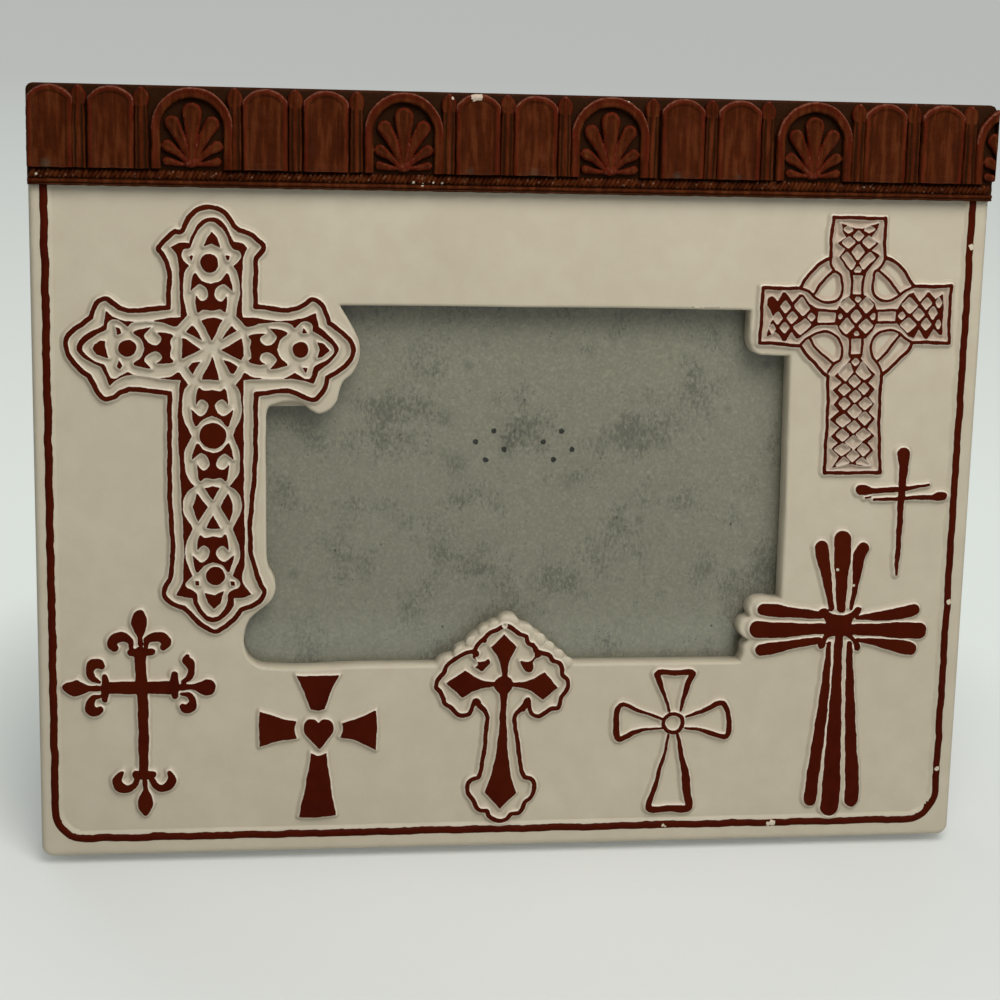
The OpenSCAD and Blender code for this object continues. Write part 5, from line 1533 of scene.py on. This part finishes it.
def rope_group():
    group, given, end = new_node_group("rope_of_strands", [
        ("Start", "Vector", (-0.1257, 0.18265, 0.01525)), ("Pitch", "Float", 0.0012),
        ("Count", "Int", 210), ("Strand", "Vector", (0.0032, 0.0013, 0.0017)),
        ("Slant", "Float", 0.95), ("Seed", "Int", 12), ("Stain", "Material", None)])
    step = add(group, XYZ, {"X": given["Pitch"]}, "Vector")
    places = add(group, "GeometryNodeMeshLine", {
        "Count": given["Count"], "Start Location": given["Start"], "Offset": step}, "Mesh")
    ball = add(group, "GeometryNodeMeshUVSphere", {"Segments": 8, "Rings": 6, "Radius": 0.5}, "Mesh")
    round_ball = add(group, "GeometryNodeSetShadeSmooth", {"Geometry": ball}, "Geometry")
    strand = add(group, TRANSFORM, {"Geometry": round_ball, "Scale": given["Strand"]}, "Geometry")
    size = add(group, RANDOM, {
        0: (0.88, 0.9, 0.85), 1: (1.08, 1.1, 1.1), "Seed": given["Seed"]}, 0, data_type="FLOAT_VECTOR")
    loose = add(group, RANDOM, {2: -0.12, 3: 0.12, "Seed": given["Seed"]}, 1, data_type="FLOAT")
    slanted = add(group, MATH, [given["Slant"], loose], "Value", operation="ADD")
    turn_by = add(group, XYZ, {"Z": slanted}, "Vector")
    placed = add(group, INSTANCES, {
        "Points": places, "Instance": strand, "Rotation": turn_by, "Scale": size}, "Instances")
    end_group(group, end, placed, given["Stain"])
    return group


rope = grow("rope_strands", rope_group(), {
    "Start": (-0.1257, 0.18265, 0.01525), "Pitch": 0.0012, "Count": 210,
    "Strand": (0.0032, 0.0013, 0.0017), "Slant": 0.95, "Seed": 12, "Stain": STAIN_WEAR_AND_GLINT},
    bpy.data.meshes.new("rope_start"))
settle(rope, recalculate=False)
ride_with_frame(rope)

# %% [markdown]
# Behind the glass lies plain greyboard: pressed waste paper, dull, with dark and light flecks, soft
# clouds and a few stains. Where the points of the hinge rivets come through, a ragged near-black disc
# is painted as the shade in each hole. The CAD's board has the right shape, so it stays and only gets
# this material.

# %% Greyboard
RIVET_U, RIVET_V, RIVET_SPAN, PRONG_R = 3.0, 111.2, 18.7, 4.1
PRONG_ANGLES = [-15, 75, 165, 255]
PRONGS = [(RIVET_U + side * RIVET_SPAN / 2 + PRONG_R * math.cos(math.radians(a)),
           RIVET_V + PRONG_R * math.sin(math.radians(a))) for side in (-1, 1) for a in PRONG_ANGLES]


def greyboard():
    material, tree, spot = new_material("pressed_greyboard")
    broad, zone, blotch, mottle, fibre, torn = [
        add(tree, NOISE, {"Vector": spot, "Scale": per_mm(size), "Detail": detail, "Roughness": rough},
            "Fac")
        for size, detail, rough in (
            (26, 4, 0.5), (13, 3, 0.5), (5, 6, 0.75), (2, 3, 0.7), (0.9, 3, 0.7), (0.6, 3, 0.7))]
    upright = add(tree, MAPPING, {"Vector": spot, "Scale": (1, 0.5, 0.5)}, "Vector")
    grit = add(tree, NOISE, {"Vector": upright, "Scale": per_mm(0.8), "Detail": 5, "Roughness": 0.8}, "Fac")
    both = add(tree, MATH, [zone, grit], "Value", operation="MULTIPLY")
    coats = [(broad, "A39D8E"), (add(tree, RANGE, [blotch, 0.36, 0.62, 0.5, 0], "Result"), "8C8776"),
             (add(tree, RANGE, [mottle, 0.4, 0.65, 0.3, 0], "Result"), "868172"),
             (add(tree, RANGE, [fibre, 0.45, 0.75, 0, 0.5], "Result"), "C0BAA6"),
             (add(tree, RANGE, [both, 0.27, 0.38, 0, 0.6], "Result"), "514E46")]
    for size, share, radius, strength in (
            (1.9, 0.6, 0.25, 0.75), (7, 0.65, 0.45, 0.85), (11, 0.6, 1.8, 0.25)):
        speck = fleck(tree, spot, size, share, radius, 0.6)
        coats.append((add(tree, MATH, [speck, strength], "Value", operation="MULTIPLY"), "2E2C26"))
    # Soft dark stains below the rivets, where damp or ink has soaked in.
    damp = add(tree, RANGE, [grit, 0.38, 0.6, 0, 1], "Result")
    for u, v, radius in ((16, 102, 3.5), (-16, 106, 5), (0, 115, 5.5), (-19, 119, 3.5)):
        soaked = blot(tree, spot, place(u, v, 4), blotch, radius, radius, 0.65)
        coats.append((add(tree, MATH, [soaked, damp], "Value", operation="MULTIPLY"), "45423A"))
    # Painted shade: each prong's hole is a ragged near-black disc.
    for u, v in PRONGS:
        coats.append((blot(tree, spot, place(u, v, 4), torn, 0.8, 0.15, 1), "050504"))
    finish_painted(tree, "979082", coats, {
        "Roughness": add(tree, RANGE, [blotch, 0.3, 0.7, 0.75, 0.92], "Result"),
        "Normal": add(tree, BUMP, {"Height": fibre, "Strength": 0.5, "Distance": 0.00012}, "Normal"),
        "IOR": 1.45, "Specular IOR Level": 0.2})
    return material


def paint_node(node, material):
    """Give a CAD node, which keeps its own mesh, a better material."""
    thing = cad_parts[node]
    if len(thing.data.materials):
        thing.data.materials[0] = material
    else:
        thing.data.materials.append(material)


paint_node("backing_board", greyboard())
print("prong tips at", [(round(u, 1), round(v, 1)) for u, v in PRONGS])

# %% [markdown]
# Picture glass is clear, so it is mostly a hole with a reflection: a transparent shader with a thin
# gloss over it, stronger at grazing angles. A faint bloom of dust dulls it unevenly.

# %% Picture glass


def picture_glass():
    material, tree, spot = new_material("float_glass_dusty")
    bloom = add(tree, NOISE, {"Vector": spot, "Scale": per_mm(22), "Detail": 5, "Roughness": 0.65}, "Fac")
    dust = add(tree, RANGE, [bloom, 0.35, 0.75, 0, 0.03], "Result")
    clear = add(tree, "ShaderNodeBsdfTransparent", {"Color": linear("F4F6F4")}, "BSDF")
    film = add(tree, "ShaderNodeBsdfDiffuse", {"Color": linear("B5B3A8")}, "BSDF")
    gloss = add(tree, "ShaderNodeBsdfGlossy", {"Color": (1, 1, 1, 1), "Roughness": 0.06}, "BSDF")
    # Facing is the same from both sides; Fresnel would turn the inner face of the pane into a mirror.
    facing = add(tree, "ShaderNodeLayerWeight", {"Blend": 0.5}, "Facing")
    edge_on = add(tree, RANGE, [facing, 0.35, 1, 0.04, 0.85], "Result")
    dusty = add(tree, "ShaderNodeMixShader", [dust, clear, film], "Shader")
    add(tree, OUTPUT, {"Surface": add(tree, "ShaderNodeMixShader", [edge_on, dusty, gloss], "Shader")})
    return material


paint_node("glass_pane", picture_glass())

# %% [markdown]
# The back of the board and the strut wear black flocked paper. Flock is short fibre standing on glue:
# nearly black face-on, with a soft grey sheen where it is seen edge-on, and lint caught in it.

# %% Black flock


def black_flock():
    material, tree, spot = new_material("black_flocked_paper")
    brushed = add(tree, NOISE, {"Vector": spot, "Scale": per_mm(20), "Detail": 3}, "Fac")
    fibre = add(tree, NOISE, {"Vector": spot, "Scale": per_mm(0.7), "Detail": 3, "Roughness": 0.7}, "Fac")
    lint = fleck(tree, spot, 4, 0.82, 0.28)
    finish_painted(tree, "131315", [(brushed, "2D2C2D"), (lint, "77736C")], {
        "Roughness": add(tree, RANGE, [brushed, 0.3, 0.7, 0.85, 0.97], "Result"),
        "Normal": add(tree, BUMP, {"Height": fibre, "Strength": 0.7, "Distance": 0.00025}, "Normal"),
        "Sheen Weight": 0.35, "Sheen Roughness": 0.45, "IOR": 1.45})
    return material


FLOCK = black_flock()
paint_node("backing_cover", FLOCK)

# %% [markdown]
# The fittings are stamped from sheet steel and zinc-plated. Plating gives a cool grey metal that is
# half bright, clouded in patches a few millimetres wide, with fine scratches from the tumbling drum.

# %% Zinc-plated steel


def zinc_plate():
    material, tree, spot = new_material("zinc_plated_steel")
    patches = add(tree, NOISE, {"Vector": spot, "Scale": per_mm(6), "Detail": 3}, "Fac")
    drawn = add(tree, MAPPING, {
        "Vector": spot, "Rotation": (0, 0.6, 0.3), "Scale": (1, 14, 14)}, "Vector")
    scratch = add(tree, NOISE, {"Vector": drawn, "Scale": per_mm(4), "Detail": 4, "Roughness": 0.7}, "Fac")
    together = add(tree, MATH, [patches, scratch], "Value", operation="ADD")
    finish_painted(tree, "A9ABA8", [(patches, "CBCCC8")], {
        "Metallic": 1.0, "Roughness": add(tree, RANGE, [together, 0.7, 1.3, 0.24, 0.46], "Result"),
        "Normal": add(tree, BUMP, {"Height": scratch, "Strength": 0.25, "Distance": 0.00006}, "Normal")})
    return material


ZINC = zinc_plate()
print("material", ZINC.name)

# %% [markdown]
# Stamped leaves and flippers keep the exact shape of the CAD, but no stamped edge is razor sharp. A
# copy of each CAD mesh is merged, its flat faces are made whole again, and its sharp edges are
# rounded by a tenth or two of a millimetre, which is what makes metal catch the light.

# %% Round the edges of the fittings
SHARP = math.radians(32)


def rounded_copy(node, name, width, material, body_name):
    bm = bmesh.new()
    bm.from_mesh(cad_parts[node].data)
    bmesh.ops.remove_doubles(bm, verts=bm.verts, dist=0.000004)
    bmesh.ops.dissolve_limit(
        bm, angle_limit=math.radians(1), verts=bm.verts, edges=bm.edges, delimit={"NORMAL"})
    # Facets of a round surface meet at small angles. They and the new edges are shaded smooth, and so is
    # a flat face that meets such a facet at a small angle; other stamped flats stay flat, or they would
    # seem dented.
    shared = [e for e in bm.edges if len(e.link_faces) == 2]
    sharp = [e for e in shared if e.calc_face_angle() > SHARP]
    for face in bm.faces:
        face.material_index = 0
    for edge in shared:
        if math.radians(1.5) < edge.calc_face_angle() <= SHARP:
            for face in edge.link_faces:
                face.material_index = 1
    bmesh.ops.bevel(bm, geom=sharp, offset=width * 0.001, segments=2, profile=0.5, affect="EDGES",
                    clamp_overlap=True, material=1)
    for face in bm.faces:
        face.smooth = face.material_index == 1
        face.material_index = 0
    for edge in bm.edges:
        edge.smooth = len(edge.link_faces) == 2 and edge.calc_face_angle() < SHARP
    open_count = sum(1 for edge in bm.edges if len(edge.link_faces) != 2)
    made = to_object(name, bm, [material], lean=False)
    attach(made, body_name)
    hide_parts(node)
    print(name, len(made.data.polygons), "faces, open edges", open_count)


rounded_copy("strut_board", "strut_flocked", 0.3, FLOCK, "strut")
rounded_copy("hinge_fixed_leaf", "hinge_leaf_on_board", 0.12, ZINC, "frame")
rounded_copy("hinge_moving_leaf", "hinge_leaf_on_strut", 0.12, ZINC, "strut")
rounded_copy("hinge_pin", "hinge_pin_polished", 0.15, ZINC, "frame")
rounded_copy("strut_rivets", "strut_rivets_set", 0.18, ZINC, "strut")
for number in (1, 2, 3, 4):
    rounded_copy(f"turn_button_{number}", f"flipper_{number}", 0.15, ZINC,
                 f"button_{number}")

# %% [markdown]
# Screws and rivets are turned or headed parts, so each is one profile spun round an axis. The screw
# gets its slot by a Boolean. Geometry Nodes then set the four screws on the corners of a rectangle,
# each slot turned differently, and the two rivets side by side with four pointed prongs apiece.

# %% Spin a profile
SCREW_U, SCREW_V = 50.0, (42.6, 159.4)


def spun(name, profile, sides):
    """A closed solid of revolution from (radius, height) points in mm, ending on the axis."""
    bm = bmesh.new()
    rings = []
    for radius, height in profile:
        if radius == 0:
            rings.append([bm.verts.new((0, 0, height * 0.001))])
        else:
            rings.append([bm.verts.new((radius * 0.001 * math.cos(2 * math.pi * k / sides),
                                        radius * 0.001 * math.sin(2 * math.pi * k / sides),
                                        height * 0.001)) for k in range(sides)])
    for lower, upper in zip(rings[:-1], rings[1:]):
        for k in range(sides):
            m = (k + 1) % sides
            if len(lower) == 1:
                bm.faces.new((lower[0], upper[m], upper[k]))
            elif len(upper) == 1:
                bm.faces.new((lower[k], lower[m], upper[0]))
            else:
                bm.faces.new((lower[k], lower[m], upper[m], upper[k]))
    bmesh.ops.recalc_face_normals(bm, faces=bm.faces)
    for face in bm.faces:
        face.smooth = True
    mesh = bpy.data.meshes.new(name)
    bm.to_mesh(mesh)
    bm.free()
    return mesh


# Heights count backwards from the casting's back, which is at 0; a shank goes into the casting.
SCREW_PROFILE = [(0, -8.0), (1.0, -7.2), (1.38, -6.0), (1.38, 1.3), (2.85, 1.3), (3.0, 1.42), (3.0, 1.9),
                 (2.86, 2.3), (2.45, 2.6), (1.7, 2.8), (0.8, 2.88), (0, 2.9)]
PLATE_PROFILE = [(0, 0.35), (4.6, 0.35), (4.82, 0.46), (4.9, 0.62), (4.82, 0.8), (4.5, 0.92),
                 (2.5, 0.98), (0, 1.0)]


def slotted(mesh, width, depth, top):
    """Cut a straight slot across a head with a Boolean."""
    head = into_scene("head", mesh)
    tool_mesh = bpy.data.meshes.new("slot_tool")
    bm = bmesh.new()
    bmesh.ops.create_cube(bm, size=1.0)
    bm.transform(Matrix.Translation((0, 0, (top - depth / 2 + 0.5) * 0.001))
                 @ Matrix.Diagonal((0.009, width * 0.001, (depth + 1.0) * 0.001, 1)))
    bm.to_mesh(tool_mesh)
    bm.free()
    tool = into_scene("slot_tool", tool_mesh)
    cutter = head.modifiers.new("slot", "BOOLEAN")
    cutter.operation = "DIFFERENCE"
    cutter.solver = "EXACT"
    cutter.object = tool
    cut_mesh = bpy.data.meshes.new_from_object(
        head.evaluated_get(bpy.context.evaluated_depsgraph_get()))
    for thing in (head, tool):
        bpy.data.objects.remove(thing)
    bm = bmesh.new()
    bm.from_mesh(cut_mesh)
    bmesh.ops.remove_doubles(bm, verts=bm.verts, dist=0.000002)
    for edge in bm.edges:
        edge.smooth = len(edge.link_faces) == 2 and edge.calc_face_angle() < SHARP
    bm.to_mesh(cut_mesh)
    bm.free()
    return cut_mesh


SCREW = slotted(spun("screw", SCREW_PROFILE, 40), 0.7, 0.7, 2.9)
PLATE = spun("rivet_plate", PLATE_PROFILE, 48)
print("screw", len(SCREW.polygons), "faces; rivet plate", len(PLATE.polygons))

# %% Set screws and rivets
BACKWARDS = Matrix.Rotation(math.pi, 4, "X")


def screw_group():
    group, given, end = new_node_group("screws_on_corners", [
        ("Width", "Float", 0.1), ("Height", "Float", 0.1168), ("Seed", "Int", 4),
        ("Metal", "Material", None)])
    places = add(group, "GeometryNodeMeshGrid", {
        "Size X": given["Width"], "Size Y": given["Height"], "Vertices X": 2, "Vertices Y": 2}, "Mesh")
    turn_by = add(group, RANDOM, {
        0: (0.0, 0.0, -1.4), 1: (0.0, 0.0, 1.4), "Seed": given["Seed"]}, 0, data_type="FLOAT_VECTOR")
    placed = add(group, INSTANCES, {
        "Points": places, "Instance": given["Geometry"], "Rotation": turn_by}, "Instances")
    end_group(group, end, placed, given["Metal"])
    return group


def rivet_group():
    group, given, end = new_node_group("pronged_rivets", [
        ("Spacing", "Float", 0.0187), ("Circle", "Float", 0.0041), ("Prong Radius", "Float", 0.0003),
        ("Start", "Float", -0.0005), ("Prong Length", "Float", 0.0038), ("Tip Length", "Float", 0.00085),
        ("Turn", "Float", -0.26), ("Metal", "Material", None)])
    shank = add(group, "GeometryNodeMeshCone", {
        "Vertices": 10, "Side Segments": 1, "Radius Top": given["Prong Radius"],
        "Radius Bottom": given["Prong Radius"], "Depth": given["Prong Length"]}, "Mesh")
    tip = add(group, "GeometryNodeMeshCone", {
        "Vertices": 10, "Radius Top": 0.00008, "Radius Bottom": given["Prong Radius"],
        "Depth": given["Tip Length"]}, "Mesh")
    up = add(group, XYZ, {"Z": given["Prong Length"]}, "Vector")
    tip_up = add(group, TRANSFORM, {"Geometry": tip, "Translation": up}, "Geometry")
    prong = add(group, "GeometryNodeJoinGeometry")
    for part in (shank, tip_up):
        group.links.new(part, prong.inputs[0])
    one = add(group, "GeometryNodeMergeByDistance", {
        "Geometry": prong.outputs[0], "Distance": 0.000002}, "Geometry")
    circle = add(group, "GeometryNodeMeshCircle", {"Vertices": 4, "Radius": given["Circle"]}, "Mesh")
    angle = add(group, XYZ, {"Z": given["Turn"]}, "Vector")
    turned_circle = add(group, TRANSFORM, {"Geometry": circle, "Rotation": angle}, "Geometry")
    sunk = add(group, XYZ, {"Z": given["Start"]}, "Vector")
    started = add(group, TRANSFORM, {"Geometry": one, "Translation": sunk}, "Geometry")
    prongs = add(group, INSTANCES, {"Points": turned_circle, "Instance": started}, "Instances")
    rivet = add(group, "GeometryNodeJoinGeometry")
    for part in (given["Geometry"], prongs):
        group.links.new(part, rivet.inputs[0])
    half = add(group, MATH, [given["Spacing"], -0.5], "Value", operation="MULTIPLY")
    first = add(group, XYZ, {"X": half}, "Vector")
    step = add(group, XYZ, {"X": given["Spacing"]}, "Vector")
    places = add(group, "GeometryNodeMeshLine", {
        "Count": 2, "Start Location": first, "Offset": step}, "Mesh")
    placed = add(group, INSTANCES, {"Points": places, "Instance": rivet.outputs[0]}, "Instances")
    end_group(group, end, placed, given["Metal"])
    return group


def set_on_back(piece, u, v, node):
    """Turn a fitting drawn upwards so that it points out of the back, and put it in its place."""
    piece.data.transform(Matrix.Translation((u * 0.001, v * 0.001, 0)) @ BACKWARDS)
    settle(piece, recalculate=False)
    ride_with_frame(piece, node)


screws = grow("slotted_screws", screw_group(), {
    "Width": 2 * SCREW_U * 0.001, "Height": (SCREW_V[1] - SCREW_V[0]) * 0.001, "Seed": 4, "Metal": ZINC},
    SCREW)
set_on_back(screws, RIVET_U, sum(SCREW_V) / 2, "turn_button_screws")
# The plate lies on the leaf, 0.4 mm behind the back; its prongs point forward through the board.
PLATE.transform(Matrix.Scale(-1, 4, (0, 0, 1)))
PLATE.flip_normals()
rivets = grow("pronged_rivets", rivet_group(), {
    "Spacing": RIVET_SPAN * 0.001, "Circle": PRONG_R * 0.001, "Prong Radius": 0.0003,
    "Start": -0.0005, "Prong Length": 0.0038, "Tip Length": 0.00085,
    "Turn": math.radians(PRONG_ANGLES[0]),
    "Metal": ZINC}, PLATE)
# The prongs start inside the plate and end just proud of the board, short of the glass.
rivets.data.transform(Matrix.Translation((RIVET_U * 0.001, RIVET_V * 0.001, 0)))
settle(rivets, recalculate=False)
ride_with_frame(rivets, "hinge_pronged_rivets")

# %% [markdown]
# The studio: a pale floor that the camera sees right up to the top of its picture, one large soft
# lamp above and close by, and an even pale sky for the shadows. The lamp is near enough that the
# top of the frame is a third brighter than its foot, as in the photograph. Near the frame the floor
# is lit, so it takes the contact shadow; further off it glows for the camera alone, to stay pale,
# and that glow is painted darker towards the back, as the lamp's light would fall off there.

# %% Floor, lamps and sky
FLOOR_HALF = 3.0
bm = bmesh.new()
bmesh.ops.create_grid(bm, x_segments=1, y_segments=1, size=FLOOR_HALF)
floor = to_object("studio_floor", bm, [], lean=False)


def studio_paper():
    material, tree, spot = new_material("matt_backdrop_paper")
    tone = add(tree, NOISE, {"Vector": spot, "Scale": 2.5}, "Fac")
    near_colour = layered(tree, "D7D8D6", [(tone, "DEE0DD")])
    lit = add(tree, "ShaderNodeBsdfDiffuse", {"Color": near_colour}, "BSDF")
    # Painted falloff: the glow darkens towards the back, where the lamp's light would be weaker.
    back = add(tree, "ShaderNodeSeparateXYZ", {"Vector": spot}, "Y")
    depth = add(tree, RANGE, [back, 0.2, 1.0, 0, 1], "Result")
    far_colour = layered(tree, "DEE4DE", [(depth, "BABDBA")])
    glow = add(tree, "ShaderNodeEmission", {"Color": far_colour, "Strength": 1.0}, "Emission")
    away = add(tree, VECTOR_MATH, [spot], "Value", operation="LENGTH")
    share = add(tree, RANGE, [away, 0.12, 0.2, 0.2, 0.92], "Result")
    rays = add(tree, "ShaderNodeLightPath").outputs
    shown = add(tree, MATH, [rays["Is Camera Ray"], rays["Is Glossy Ray"]], "Value", operation="MAXIMUM")
    also = add(tree, MATH, [shown, rays["Is Transmission Ray"]], "Value", operation="MAXIMUM")
    glowing = add(tree, MATH, [also, share], "Value", operation="MULTIPLY")
    surface = add(tree, "ShaderNodeMixShader", [glowing, lit, glow], "Shader")
    add(tree, OUTPUT, {"Surface": surface})
    return material


floor.data.materials.append(studio_paper())


def soft_lamp(name, spot, aim, size, power, colour):
    data = bpy.data.lights.new(name, "AREA")
    data.shape = "DISK"
    data.size = size
    data.energy = power
    data.color = linear(colour)[:3]
    direction = Vector(aim) - Vector(spot)
    turned_to = direction.to_track_quat("-Z", "Y").to_matrix().to_4x4()
    into_scene(name, data).matrix_world = Matrix.Translation(spot) @ turned_to


soft_lamp("key_lamp", (0.09, -0.30, 0.62), (0.0, 0.0, 0.12), 0.45, 3.3, "FFFCF8")
soft_lamp("fill_lamp", (0.8, -1.2, 0.7), (0.0, 0.0, 0.1), 0.9, 1.8, "F8FBFF")
# A weak one behind, so that the fittings of the back can be seen; the front gets none of its light.
soft_lamp("back_lamp", (-0.5, 0.9, 0.7), (0.0, 0.0, 0.1), 0.8, 1.5, "F8FBFF")
world = bpy.data.worlds.new("studio_sky")
bpy.context.scene.world = world
world.use_nodes = True
sky = world.node_tree
sky.nodes.clear()
even = add(sky, "ShaderNodeBackground", {"Color": linear("F2F4F5"), "Strength": 0.3}, "Background")
seen = add(sky, "ShaderNodeBackground", {"Color": linear("BABDBA"), "Strength": 1.0}, "Background")
for_camera = add(sky, "ShaderNodeLightPath", out="Is Camera Ray")
add(sky, "ShaderNodeOutputWorld", {
    "Surface": add(sky, "ShaderNodeMixShader", [for_camera, even, seen], "Shader")})
bpy.context.scene.view_settings.view_transform = "Standard"
